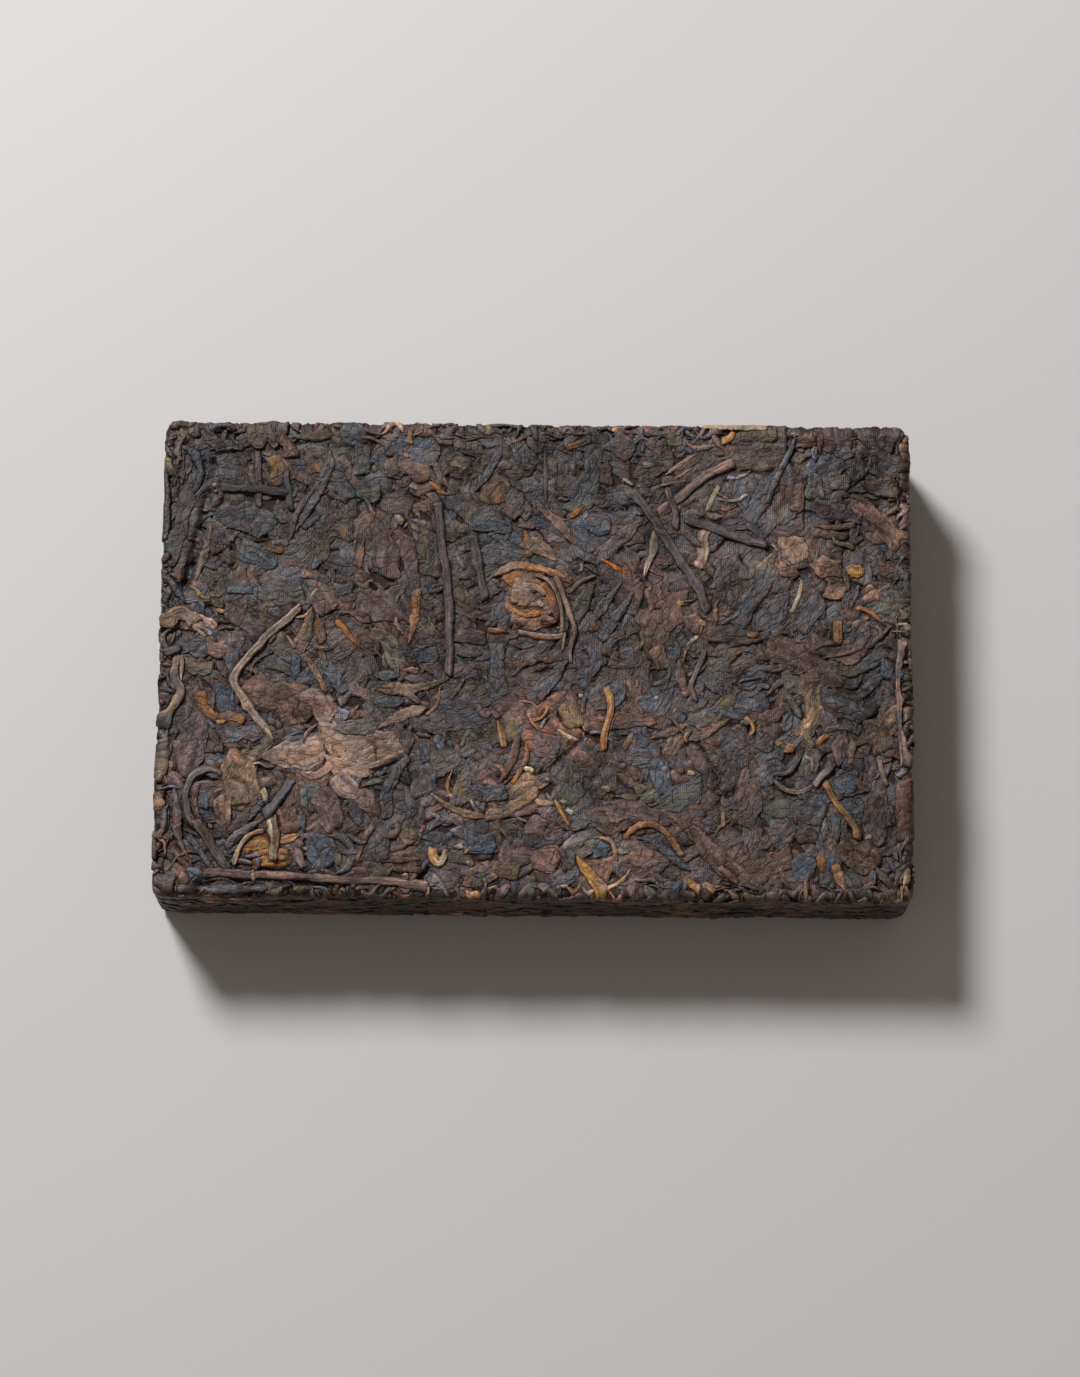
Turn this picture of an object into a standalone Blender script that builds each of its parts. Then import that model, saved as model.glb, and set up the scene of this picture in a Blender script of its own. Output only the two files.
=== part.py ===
"""A brick of pressed pu erh tea, about 140 x 90 x 20 mm: one solid that lies on its flat back.

The leaf is pressed in a mould, so the brick is a block with rounded, worn edges and corners.
Its sides bow a little in and out, its upper face is gently uneven, and the longest tea stalks
stand out of that face as low ridges.
Metres, +Z up.  X runs along the brick, and the origin is the middle of the underside.
"""

import math

import bmesh
import bpy
from mathutils import Vector, noise

MM = 0.001

# Driving dimensions.
LENGTH = 140 * MM
WIDTH = 90 * MM
THICKNESS = 20 * MM          # up to the tops of the stalks
STALK_RISE = 0.6 * MM        # how far a stalk's top stands over the pressed face
EDGE_RADIUS = 2.0 * MM       # of all twelve edges
CORNER_RADIUS = {            # in plan: each corner is worn by its own amount
    (-1, 1): 3.5 * MM,
    (1, 1): 6.0 * MM,
    (1, -1): 4.0 * MM,
    (-1, -1): 3.0 * MM,
}

# Unevenness of the pressed leaf.
OUTLINE_WAVE = 0.5 * MM      # the sides bow in and out by up to this
OUTLINE_SCALE = 14 * MM
FACE_WAVE = 0.35 * MM        # the upper face rises and falls by up to this
FACE_SCALE = 7 * MM

# The lattice that the block is shaped from.
FACE_STEP = 3.2 * MM
SIDE_STEP = 3.2 * MM

FACE_LEVEL = THICKNESS - STALK_RISE
FLAT_TOLERANCE = 0.001 * MM

# The stalks that stand out of the upper face: radius, how far its top lies under the highest, then
# the route as (x, y), all in millimetres.
STALKS = (
    ("long_upright", 0.95, 0.0, ((-18.3, 30.0), (-17.2, 22.0), (-16.0, 8.0), (-15.8, -4.0))),
    ("short_upright", 0.95, 0.1, ((-12.0, 23.5), (-10.2, 16.5), (-9.6, 9.0))),
    ("crossing_over", 1.0, 0.0, ((18.2, 32.5), (21.0, 28.3), (25.5, 21.0), (29.6, 14.0), (31.0, 10.5))),
    ("crossing_under", 1.25, 0.25, ((10.8, 18.6), (17.5, 23.6), (26.5, 31.5), (35.5, 37.5))),
    ("short_hook", 0.75, 0.1, ((24.4, 32.6), (25.7, 29.0), (26.2, 25.8))),
    ("right_arm", 0.95, 0.2, ((29.0, 26.4), (34.5, 24.4), (41.5, 22.8))),
    ("top_left_bar", 0.95, 0.1, ((-58.5, 32.2), (-51.0, 32.0), (-44.0, 31.4))),
    ("left_elbow", 0.8, 0.0, ((-43.0, 9.2), (-47.8, 5.2), (-53.2, -1.2), (-55.0, -4.6), (-52.8, -9.0),
                              (-48.8, -14.4))),
    ("left_fork", 0.9, 0.1, ((-65.6, -2.0), (-65.8, -6.2), (-67.6, -11.0))),
    ("front_edge", 0.95, 0.1, ((-59.0, -41.3), (-48.0, -41.5), (-38.0, -42.4), (-27.0, -42.9), (-18.0, -43.2))),
    ("right_edge", 0.6, 0.15, ((67.0, 3.0), (67.0, -8.0), (67.6, -17.0))),
)
STALK_SIDES = 8


def clear_scene():
    for obj in list(bpy.data.objects):
        bpy.data.objects.remove(obj, do_unlink=True)


def new_collection(name):
    made = bpy.data.collections.new(name)
    bpy.context.scene.collection.children.link(made)
    return made


def tea_material():
    material = bpy.data.materials.new("pressed_tea")
    material.use_nodes = True
    shader = material.node_tree.nodes["Principled BSDF"]
    shader.inputs["Base Color"].default_value = (0.062, 0.045, 0.038, 1.0)
    shader.inputs["Roughness"].default_value = 0.72
    shader.inputs["Metallic"].default_value = 0.0
    material.diffuse_color = (0.062, 0.045, 0.038, 1.0)
    return material


def cuts_between(low, high, step):
    """Where the lattice cuts one side of the block: at and inside each rounded edge, then evenly."""
    inner = EDGE_RADIUS
    half_way = inner * (1 - math.tan(math.radians(22.5)))
    count = round((high - low - 2 * inner) / step)
    even = [low + inner + (high - low - 2 * inner) * i / count for i in range(count + 1)]
    return [low + half_way, *even, high - half_way]


def lattice_block():
    """A sharp box of the pressed face's height, cut into a lattice."""
    mesh = bmesh.new()
    bmesh.ops.create_cube(mesh, size=1.0)
    bmesh.ops.scale(mesh, vec=(LENGTH, WIDTH, FACE_LEVEL), verts=mesh.verts)
    bmesh.ops.translate(mesh, vec=(0, 0, FACE_LEVEL / 2), verts=mesh.verts)
    for axis, low, high, step in (
        (0, -LENGTH / 2, LENGTH / 2, FACE_STEP),
        (1, -WIDTH / 2, WIDTH / 2, FACE_STEP),
        (2, 0.0, FACE_LEVEL, SIDE_STEP),
    ):
        normal = Vector([float(axis == i) for i in range(3)])
        for place in cuts_between(low, high, step):
            everything = mesh.verts[:] + mesh.edges[:] + mesh.faces[:]
            bmesh.ops.bisect_plane(mesh, geom=everything, plane_co=normal * place, plane_no=normal)
    return mesh


def rounded(point):
    """Moves a point of the sharp box onto the box with rounded edges."""
    reach = Vector((LENGTH / 2 - EDGE_RADIUS, WIDTH / 2 - EDGE_RADIUS, 0))
    inner = Vector((
        max(-reach.x, min(reach.x, point.x)),
        max(-reach.y, min(reach.y, point.y)),
        max(EDGE_RADIUS, min(FACE_LEVEL - EDGE_RADIUS, point.z)),
    ))
    outward = point - inner
    if outward.length < FLAT_TOLERANCE:
        return point
    return inner + outward.normalized() * EDGE_RADIUS


def worn_corners(point):
    """Draws the block's four upright corners in to their own radii."""
    side = (1 if point.x > 0 else -1, 1 if point.y > 0 else -1)
    radius = CORNER_RADIUS[side]
    centre = Vector((side[0] * (LENGTH / 2 - radius), side[1] * (WIDTH / 2 - radius), point.z))
    reach = point - centre
    along_x, along_y = reach.x * side[0], reach.y * side[1]
    if along_x <= 0 or along_y <= 0:
        return point
    return centre + reach * (max(along_x, along_y) / math.hypot(along_x, along_y))


def uneven(point):
    """Bows the sides in and out and waves the upper face, and leaves the underside flat."""
    outward = Vector((point.x / LENGTH, point.y / WIDTH, 0)) * 2
    share = max(abs(outward.x), abs(outward.y)) ** 12
    height = point.z / FACE_LEVEL
    bow = noise.noise(point / OUTLINE_SCALE + Vector((0, 0, 3.1)))
    if share > 0 and outward.length > 0:
        point = point - outward.normalized() * OUTLINE_WAVE * share * max(0.0, 0.5 - bow)
    wave = noise.fractal(Vector((point.x, point.y, 0)) / FACE_SCALE, 1.0, 2.0, 3)
    point.z += FACE_WAVE * wave * max(0.0, height - 0.5) * 2
    return point


def centred(mesh):
    """Puts the middle of the block's plan on the origin."""
    for axis in (0, 1):
        places = [v.co[axis] for v in mesh.verts]
        middle = (min(places) + max(places)) / 2
        for v in mesh.verts:
            v.co[axis] -= middle


def join_flat_back(mesh):
    """Makes the flat part of the underside one face, to rest on."""
    flat = [f for f in mesh.faces if all(v.co.z < FLAT_TOLERANCE for v in f.verts)]
    bmesh.ops.dissolve_faces(mesh, faces=flat, use_verts=False)


def make_brick(collection, material):
    mesh = lattice_block()
    for v in mesh.verts:
        v.co = uneven(worn_corners(rounded(v.co)))
    centred(mesh)
    join_flat_back(mesh)
    bmesh.ops.recalc_face_normals(mesh, faces=mesh.faces)
    data = bpy.data.meshes.new("pressed_brick")
    mesh.to_mesh(data)
    mesh.free()
    data.materials.append(material)
    brick = bpy.data.objects.new("pressed_brick", data)
    collection.objects.link(brick)
    data.shade_smooth()
    data.set_sharp_from_angle(angle=math.radians(50))
    return brick


def make_stalk(collection, name, radius, sink, route):
    """A round stalk along its route, as a closed mesh."""
    curve = bpy.data.curves.new(name, "CURVE")
    curve.dimensions = "3D"
    curve.bevel_depth = radius
    curve.bevel_resolution = (STALK_SIDES - 4) // 2
    curve.use_fill_caps = True
    spline = curve.splines.new("POLY")
    spline.points.add(len(route) - 1)
    for spot, (x, y) in zip(spline.points, route):
        spot.co = (x * MM, y * MM, THICKNESS - sink - radius, 1.0)
    guide = bpy.data.objects.new(name + "_route", curve)
    collection.objects.link(guide)
    bpy.context.view_layer.update()
    evaluated = guide.evaluated_get(bpy.context.evaluated_depsgraph_get())
    data = bpy.data.meshes.new_from_object(evaluated)
    welded = bmesh.new()
    welded.from_mesh(data)
    bmesh.ops.remove_doubles(welded, verts=welded.verts, dist=0.01 * MM)
    bmesh.ops.recalc_face_normals(welded, faces=welded.faces)
    welded.to_mesh(data)
    welded.free()
    bpy.data.objects.remove(guide)
    stalk = bpy.data.objects.new(name, data)
    collection.objects.link(stalk)
    stalk.hide_render = True
    stalk.display_type = "WIRE"
    return stalk


def main():
    clear_scene()
    parts = new_collection("pu_erh_tea_brick")
    tools = new_collection("stalks_joined_to_the_brick")
    brick = make_brick(parts, tea_material())
    for name, radius, sink, route in STALKS:
        stalk = make_stalk(tools, name, radius * MM, sink * MM, route)
        union = brick.modifiers.new("join_" + name, "BOOLEAN")
        union.operation = "UNION"
        union.solver = "EXACT"
        union.object = stalk


main()
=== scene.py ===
"""Looks of a brick of pressed pu erh tea: separate leaves, stalks and buds, pressed over a smaller core.

Each side of the brick is a flat map in millimetres.  Leaf after leaf is laid on the map, each one
draped over what lies under it; then the whole side is pressed flat, as the mould does, and wrapped
round the brick.  Every leaf, stalk and bud is a closed piece of mesh of its own.
"""
import math

import bpy
import numpy as np
from mathutils import Matrix, Vector


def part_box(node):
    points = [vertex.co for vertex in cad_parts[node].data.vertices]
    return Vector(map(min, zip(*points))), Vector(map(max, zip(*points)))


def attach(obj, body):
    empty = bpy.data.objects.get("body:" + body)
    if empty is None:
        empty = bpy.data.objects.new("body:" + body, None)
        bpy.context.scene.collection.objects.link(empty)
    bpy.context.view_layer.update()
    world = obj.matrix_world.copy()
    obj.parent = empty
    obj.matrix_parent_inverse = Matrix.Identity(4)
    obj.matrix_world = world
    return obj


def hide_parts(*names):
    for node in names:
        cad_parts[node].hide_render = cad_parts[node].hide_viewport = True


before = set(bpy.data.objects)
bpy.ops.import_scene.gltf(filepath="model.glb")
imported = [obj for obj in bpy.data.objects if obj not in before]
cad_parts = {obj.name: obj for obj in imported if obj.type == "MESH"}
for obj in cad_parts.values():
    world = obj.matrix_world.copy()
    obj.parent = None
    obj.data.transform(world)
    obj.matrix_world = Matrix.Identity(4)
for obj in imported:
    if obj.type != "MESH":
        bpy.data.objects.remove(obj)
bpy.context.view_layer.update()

MM = 0.001
BODY = "root"
NODE = "pressed_brick"

# ---------------------------------------------------------------------------- size of the brick, mm
LOW, HIGH = (np.array(corner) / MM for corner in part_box(NODE))
LENGTH, WIDTH, HEIGHT = HIGH - LOW
PILE = 1.5                     # depth of the leaf laid over the core
STALK_RISE = 0.6               # of the stalks' tops over the pressed face
EDGE_RADIUS = 0.7              # of the core
SQUARENESS = 6                 # of the leaf's own edge over it: 2 would be round
CORNERS = {(-1, 1): 2.4, (1, 1): 3.0, (1, -1): 3.0, (-1, -1): 2.4}   # of the brick, seen from above
CORE_HALF = (LENGTH / 2 - PILE - 0.1, WIDTH / 2 - PILE + 0.5)
CORE_LOW = PILE - 0.15
CORE_HIGH = HEIGHT - STALK_RISE - PILE - 0.1
WRAP = EDGE_RADIUS * math.pi / 2
OVERLAP = 3.0                  # how far each side's leaf runs on past a rounded edge

# ---------------------------------------------------------------------------- colours
# As the eye sees them on the brick in soft daylight, sRGB out of 255.
SHADES = {
    "umber": (62, 47, 42), "plum": (84, 70, 68), "slate": (75, 73, 76), "blue": (70, 75, 82),
    "grey": (91, 82, 80), "moss": (83, 79, 68), "olive": (98, 82, 62), "brown": (92, 71, 60),
    "russet": (100, 73, 60), "pink": (110, 88, 83), "beige": (138, 117, 104), "clay": (129, 100, 85),
    "tan": (138, 111, 93), "orange": (138, 96, 62), "gold": (155, 119, 78), "straw": (150, 133, 110),
    "pale": (164, 151, 141),
}
LIGHTNESS = 0.605              # a base colour as a share of what the eye sees under this scene's light
ALIKE = 0.4                    # how far the leaf laid at random keeps to the mean shade
SIDE_TINT = np.array([1.08, 0.94, 0.9])    # the sides are redder than the pressed face
RIM_WIDTH, RIM_TONE_AND_PAINTED_SHADE = 0.9, 0.66           # mm over which the face's rim darkens, and how far: partly painted shade of the rounded edge, partly the sides' own darker tone


def linear(shade):
    """A named shade as linear light."""
    value = np.array(SHADES[shade]) / 255
    return np.where(value < 0.04045, value / 12.92, ((value + 0.055) / 1.055) ** 2.4) * LIGHTNESS


TONES = (   # where the pressed face is paler or darker than elsewhere: x, y, radius in mm, factor
    (-60, 32, 30, 0.50), (-20, 36, 20, 0.62), (52, 26, 16, 1.10), (66, 38, 9, 0.80),
    (-50, -10, 18, 1.16), (-28, -20, 18, 1.14), (-50, -34, 18, 1.26), (14, 38, 14, 0.9),
    (0, -33, 20, 1.34), (38, 4, 26, 1.06), (62, -34, 18, 0.86), (0, 11, 6, 1.14), (48, 21, 4, 1.2),
)


def within(u, v, x, y, radius):
    """1 at x, y, falling softly to 0 at about twice the radius."""
    return np.exp(-((u - x) ** 2 + (v - y) ** 2) / radius**2)


def tone_of_face(u, v):
    """How light the face is at a place: its paler and darker parts, and its rim as dark as the sides, partly as
    painted shade.
    """
    tone = np.ones(np.shape(u))
    for x, y, radius, factor in TONES:
        tone = tone * (1 + (factor - 1) * within(u, v, x, y, radius))
    # The rim is painted darker: partly painted shade of the rounded edge, partly the sides' own darker tone.
    rim = np.clip(from_core(u, v)[0] / RIM_WIDTH, 0, 1)[..., None]
    return tone[..., None] * (1 + rim * (RIM_TONE_AND_PAINTED_SHADE * SIDE_TINT - 1))


MEAN_SHADE = (linear("umber") + linear("plum") + linear("grey") + linear("brown")) / 4


# ---------------------------------------------------------------------------- small tools
def smooth_line(points, step):
    """Places every step along a smooth curve through the points."""
    points = np.array(points, float)
    if len(points) > 2:
        gaps = np.linalg.norm(np.diff(points, axis=0), axis=1)
        slopes = np.gradient(points, np.concatenate([[0], np.cumsum(gaps)]), axis=0)
        parts = []
        for i, gap in enumerate(gaps):
            t = np.linspace(0, 1, 9)[:-1, None]
            parts.append(
                points[i] * (2 * t**3 - 3 * t**2 + 1) + points[i + 1] * (3 * t**2 - 2 * t**3)
                + slopes[i] * gap * (t**3 - 2 * t**2 + t) + slopes[i + 1] * gap * (t**3 - t**2)
            )
        points = np.concatenate([*parts, points[-1:]])
    along = np.concatenate([[0], np.cumsum(np.linalg.norm(np.diff(points, axis=0), axis=1))])
    count = max(4, round(along[-1] / step) + 1)
    places = np.linspace(0, along[-1], count)
    return np.stack([np.interp(places, along, points[:, axis]) for axis in (0, 1)], 1), places


def ripples(rng, x, y, wave, count=4):
    """A sum of waves in random directions, about -1 to 1."""
    total = 0
    for _ in range(count):
        angle, turn = rng.uniform(0, 2 * math.pi, 2)
        rate = 2 * math.pi / (wave * rng.uniform(0.6, 1.6))
        total = total + np.sin(rate * (math.cos(angle) * x + math.sin(angle) * y) + turn)
    return total / count * 1.4


def pleats(rng, x, y, wave, count=4):
    """Straight folds that cross at narrow angles and run mostly along x, about -1 to 1."""
    total = 0
    for _ in range(count):
        angle, rate = rng.normal(math.pi / 2, 0.6), 1 / (wave * rng.uniform(0.6, 1.6))
        phase = rate * (math.cos(angle) * x + math.sin(angle) * y) + rng.uniform(0, 9)
        phase = phase + 0.2 * np.sin(1.7 * rate * x + rng.uniform(0, 6.3))
        total = total + 4 * abs(phase % 1 - 0.5) - 1
    return total / count * 1.7


def wobble(rng, s, waves):
    """A wavy line over s from 0 to 1, about -1 to 1, with that many waves and their overtones."""
    total = 0
    for over in (1, 2.3, 4.9):
        total = total + np.sin(2 * math.pi * waves * over * s + rng.uniform(0, 6.3)) / over**0.6
    return total / 1.9


def finer(grid, times):
    """The grid with that many steps for each of its own, in both directions."""
    for axis in (0, 1):
        count = grid.shape[axis]
        places = np.linspace(0, count - 1, (count - 1) * times + 1)
        below = np.minimum(places.astype(int), count - 2)
        share = (places - below).reshape((-1, 1) if axis == 0 else (1, -1))
        grid = np.take(grid, below, axis) * (1 - share) + np.take(grid, below + 1, axis) * share
    return grid


def slid(grid, steps, axis, around=False):
    """The grid moved by some cells, its border repeated, or carried round where it meets itself."""
    moved = np.arange(grid.shape[axis]) + steps
    if around and axis == 0:
        moved = moved % grid.shape[0]
    return np.take(grid, np.clip(moved, 0, grid.shape[axis] - 1), axis)


def spread(grid, cells, around=False):
    """The highest value within that many cells."""
    for axis in (0, 1):
        grid = np.maximum.reduce([slid(grid, k, axis, around) for k in range(-cells, cells + 1)])
    return grid


def blurred(grid, cells, around=False, passes=2):
    """The mean within that many cells, taken that many times."""
    for _ in range(passes):
        for axis in (0, 1):
            rows = [slid(grid, k, axis, around) for k in range(-cells, cells + 1)]
            grid = sum(rows) / len(rows)
    return grid


# ---------------------------------------------------------------------------- the sides of the brick
def core_corner(side):
    return max(0.3, CORNERS[side] - PILE - 0.1)


def by_corner(u, v, radii):
    """For each place, which side of the middle it lies on, and the radius of the corner on that side."""
    side_u, side_v = np.where(u < 0, -1, 1), np.where(v < 0, -1, 1)
    order = [radii[key] for key in ((-1, -1), (-1, 1), (1, -1), (1, 1))]
    return side_u, side_v, np.choose((side_u > 0) * 2 + (side_v > 0), order)


def plan_offset(u, v, half, radii):
    """How far places lie outside a rectangle with round corners, and which way is out."""
    side_u, side_v, radius = by_corner(u, v, radii)
    past_u, past_v = abs(u) - half[0] + radius, abs(v) - half[1] + radius
    both = (past_u > 0) & (past_v > 0)
    length = np.maximum(np.hypot(past_u, past_v), 1e-9)
    out_u = np.where(both, past_u / length, past_u > past_v) * side_u
    out_v = np.where(both, past_v / length, past_u <= past_v) * side_v
    return np.where(both, length, np.maximum(past_u, past_v)) - radius, out_u, out_v


def from_core(u, v):
    """The same from where the core's rounded edges start, which is where the maps of the faces bend."""
    half = [size - EDGE_RADIUS for size in CORE_HALF]
    return plan_offset(u, v, half, {side: max(0.1, core_corner(side) - EDGE_RADIUS) for side in CORNERS})


def over_edge(past):
    """Distance past the start of a rounded edge -> how far out, how far down, and the slope there."""
    turn = np.clip(past / EDGE_RADIUS, 0, math.pi / 2)
    beyond = np.maximum(past - WRAP, 0)
    return EDGE_RADIUS * np.sin(turn), EDGE_RADIUS * (1 - np.cos(turn)) + beyond, turn


def lifted(h, turn):
    """How far out a place at height h comes on the way round an edge: the leaf's edge is nearly square."""
    reach = (abs(np.cos(turn)) ** SQUARENESS + abs(np.sin(turn)) ** SQUARENESS) ** (-1 / SQUARENESS)
    return h + (EDGE_RADIUS + h) * (reach - 1)


def between(grid, i, following, j, x, y):
    """The grid's value a share x of the way from column i to the following, and y from row j to the next."""
    near = grid[i, j] * (1 - x) + grid[following, j] * x
    return near * (1 - y) + (grid[i, j + 1] * (1 - x) + grid[following, j + 1] * x) * y


class Side:
    """A side of the brick as a flat map in mm, with the height of the leaf laid on it so far."""

    def __init__(self, low, high, cell, step, place, level, cap, loose, tint, around=False):
        """cell and step are the mm between the map's values and between a fragment's points.

        place turns places of the map into x, y, z; level and cap are the pressed leaf's mean depth and
        most; loose is how loosely it is pressed, and tint its tone there; around is for the closed band.
        """
        self.cell, self.step, self.place, self.level = cell, step, place, level
        self.cap, self.loose, self.tint, self.around = cap, loose, tint, around
        self.low, self.high = np.array(low, float), np.array(high, float)
        self.shape = tuple(np.round((self.high - self.low) / cell).astype(int) + (0 if around else 1, 1))
        self.height = np.zeros(self.shape)
        self.owner = np.full(self.shape, -1)
        self.laid, self.grooves = [], []

    def cells(self, u, v):
        return (u - self.low[0]) / self.cell, (v - self.low[1]) / self.cell

    def count(self, size):
        """That many mm as a number of cells, at least one."""
        return max(1, round(size / self.cell))

    def blur(self, grid, size):
        return blurred(grid, self.count(size), self.around)

    def columns(self, i):
        return i % self.shape[0] if self.around else np.clip(i, 0, self.shape[0] - 1)

    def read(self, grid, u, v):
        """The grid's value at places of the map."""
        x, y = self.cells(u, v)
        y = np.clip(y, 0, self.shape[1] - 1.001)
        i, j = np.floor(x).astype(int), np.floor(y).astype(int)
        return between(grid, self.columns(i), self.columns(i + 1), j, x - i, y - j)

    def under(self, u, v, reach):
        """The height that a leaf lying at these places rests on: it bridges gaps narrower than reach."""
        x, y = self.cells(u, v)
        margin = reach * 2 + 3
        i0, j0 = int(x.min()) - margin, int(y.min()) - margin
        rows = self.columns(np.arange(i0, int(x.max()) + margin + 2))
        lines = np.clip(np.arange(j0, int(y.max()) + margin + 2), 0, self.shape[1] - 1)
        patch = self.height[np.ix_(rows, lines)]
        smooth = blurred(spread(patch, max(1, reach // 2)), reach, passes=1)
        i, j = np.floor(x).astype(int), np.floor(y).astype(int)
        spot = i - i0, i - i0 + 1, j - j0, x - i, y - j
        return between(smooth, *spot), between(patch, *spot)

    def press(self, u, v, height, number):
        """Records a leaf's upper surface in the map."""
        x, y = self.cells(u, v)
        i, j = self.columns(np.rint(x).astype(int)), np.rint(y).astype(int)
        inside = (j >= 0) & (j < self.shape[1])
        i, j, height = i[inside], j[inside], height[inside]
        before = self.height[i, j]
        np.maximum.at(self.height, (i, j), height)
        top = (height >= self.height[i, j] - 1e-6) & (height > before)
        self.owner[i[top], j[top]] = number


# Shape and make-up of each kind of fragment, with lengths in mm.
# thick: of the fragment; edge: how square its cross-section is; waist: narrowest share of its width
# point: how often an end is drawn out; tip: how wide that is; slant: of a cut end
# crease: depth of its crumples; grooves, groove: how many run along it, and how deep
# sink: how far it is pressed in; reach: how many cells of the map it bridges; droop, curl: of its edges
# streak, patch: how uneven its colour is along and across
# tuck, dip: how deep one of its edges and its ends may be tucked under what it lies on
FORM_TABLE = """
         leaf  flap  strip stalk bud   crumb fibre
thick    0.22  0.3   0.36  0.75  0.6   0.34  0.4
edge     9     9     4.6   3.6   2.8   4     2
waist    0.62  0.5   0.75  0.68  0.62  0.55  0.8
point    0.4   0.3   0.5   0     0.35  0.3   0.6
tip      0.15  0.15  0.15  0.6   0.2   0.3   0.3
slant    0.7   0.7   0.6   0.6   0.6   0.7   0.3
crease   0.17  0.22  0.1   0.09  0.1   0.14  0
grooves  1.2   1.2   1.6   1.8   1.6   0.9   0
groove   0.06  0.1   0.12  0.13  0.13  0.08  0
sink     0     -1    0.15  0.4   0.35  0.15  0.15
reach    5     4     4     7     4     2     3
droop    0.3   0.4   0.25  0     0     0.2   0
curl     0.2   0.5   0.14  0     0     0.1   0
streak   0.16  0.2   0.26  0.38  0.4   0.3   0.15
patch    0.9   1     0.8   1     1     1     0.6
tuck     0.45  0.3   0.35  0     0.2   0.3   0
dip      0.4   0.2   0.4   0.7   0.4   0.2   0.3
"""
KINDS, *PROPERTIES = [row.split() for row in FORM_TABLE.strip().splitlines()]
FORMS = {kind: {name: float(row[k]) for name, *row in PROPERTIES} for k, kind in enumerate(KINDS)}
STIFF = ("stalk", "bud")       # the kinds that keep their round cross-section
BROAD_KINDS = ("leaf", "flap", "strip")    # and those with fine crumples among the others
CORNER_GAP = 1.9               # mm of a torn edge from one corner to the next
BEND = 9.0                     # mm of a stalk from one bend to the next, and from knot to knot
BOW = 0.07                     # how far a stalk or bud bends to either side, as a share of its width
# By whether a fragment is stiff: the length of a round end as a share of its width, and how ragged in mm.
ROUND_END, FRAYED = {True: 0.1, False: 0.22}, {True: 0.02, False: 0.15}
KNOT_WIDTH, KNOT_RISE, KNOT_SHADE = 0.22, 0.25, 0.22   # how much wider, higher and darker a knot is
NARROWEST = 0.06               # mm: half the width of the narrowest place
COLUMN_GAIN, MOST_COLUMNS = 1.15, 18   # of a fragment's points across, to those that its width asks for
LEVELLED = 6                   # places along a stalk, both ways, over which its height is evened out
END_GAP, END_HEIGHT = 0.5, 0.45    # mm over which an end thins out, and the share of its thickness at the tip
FOLD, FINE_FOLD = 2.8, 1.4     # mm between crumples, and between the fine ones
CREASE_PAINTED_SHADING, GROOVE_PAINTED_SHADING = 0.16, 0.14    # painted light on their tops, and painted shade in their bottoms
BITE = 0.12                    # mm: how far the hidden underside lies below what the fragment rests on
THINNEST = 0.05                # mm between a fragment's surface and its underside
TUCKED_OVER = 1.2              # mm of a fragment's end over which it dips
PATCH = 3.2                    # mm across the patches of the second shade
DARKEST = 0.3                  # the least that streaks, the painted shade of crumples and grooves, and knots leave of a colour


def torn(rng, s, length, waist):
    """An edge's distance from the middle along s, as a share: straight stretches between corners."""
    corners = max(2, round(length / CORNER_GAP)) + 1
    places = np.linspace(0, 1, corners) + rng.uniform(-0.3, 0.3, corners) / corners
    return np.interp(s, places, rng.uniform(waist, 1.12, corners))


def drawn_out(rng, s, form, rounding):
    """How wide a fragment is near its end at s = 0, as a share: torn off round, or drawn out to a point."""
    if rng.uniform() >= form["point"] * min(1.0, 0.12 / max(rounding, 0.01)):
        start = rng.uniform(0.4, 1)
        return start + (1 - start) * np.clip(s / (rounding * rng.uniform(0.3, 1)), 0, 1)
    drawn = np.clip(s / rng.uniform(0.2, 0.55), 0, 1) ** rng.uniform(0.6, 1.1)
    return form["tip"] + (1 - form["tip"]) * drawn


def plan_of(rng, form, kind, width, line, along, step):
    """Where the places of a fragment lie on the map: u, v, their distance across it, and its knots."""
    heading = np.gradient(line, along, axis=0)
    heading /= np.linalg.norm(heading, axis=1)[:, None]
    right = np.stack([heading[:, 1], -heading[:, 0]], 1)
    length, stiff = along[-1], kind in STIFF
    s = along / length
    if stiff:
        line = line + right * (BOW * width * wobble(rng, s, length / BEND))[:, None]
    rounding = ROUND_END[stiff] * width / length
    body = np.minimum(drawn_out(rng, s, form, rounding), drawn_out(rng, 1 - s, form, rounding)) * width / 2
    knots = 0 * s
    if kind == "stalk":
        for place in rng.uniform(0, length, rng.integers(1, 2 + length / BEND)):
            knots = knots + rng.uniform(0.3, 1) * np.exp(-(((along - place) / (0.5 * width)) ** 2))
        body = body * (1 + KNOT_WIDTH * knots)
    fray = rng.uniform(-1, 1, (2, len(s))) * (FRAYED[stiff] * (1 if stiff else min(1.0, width / 2)))
    left_half, right_half = (
        np.maximum(body * torn(rng, s, length, form["waist"]) + fray[k], NARROWEST) for k in (0, 1)
    )
    finest = 8 if stiff and step < 0.5 else 4
    count = int(np.clip(round(width / step * COLUMN_GAIN), finest, MOST_COLUMNS)) + 1
    t = np.sin(np.linspace(-1, 1, count) * math.pi / 2)
    across = np.where(t < 0, left_half[:, None] * t, right_half[:, None] * t)
    slants = rng.uniform(-1, 1, 2) * form["slant"]
    ends = np.where(s < 0.5, slants[0], slants[1]) * abs(2 * s - 1) ** 4
    slide = ends[:, None] * across * min(1.0, length / width / 2)
    slide = slide + (abs(2 * s - 1) ** 12)[:, None] * rng.uniform(-0.12, 0.12, count) * min(1.0, width / 2)
    u, v = (line[:, k, None] + right[:, k, None] * across + heading[:, k, None] * slide for k in (0, 1))
    return u, v, s, t, across, knots


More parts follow.
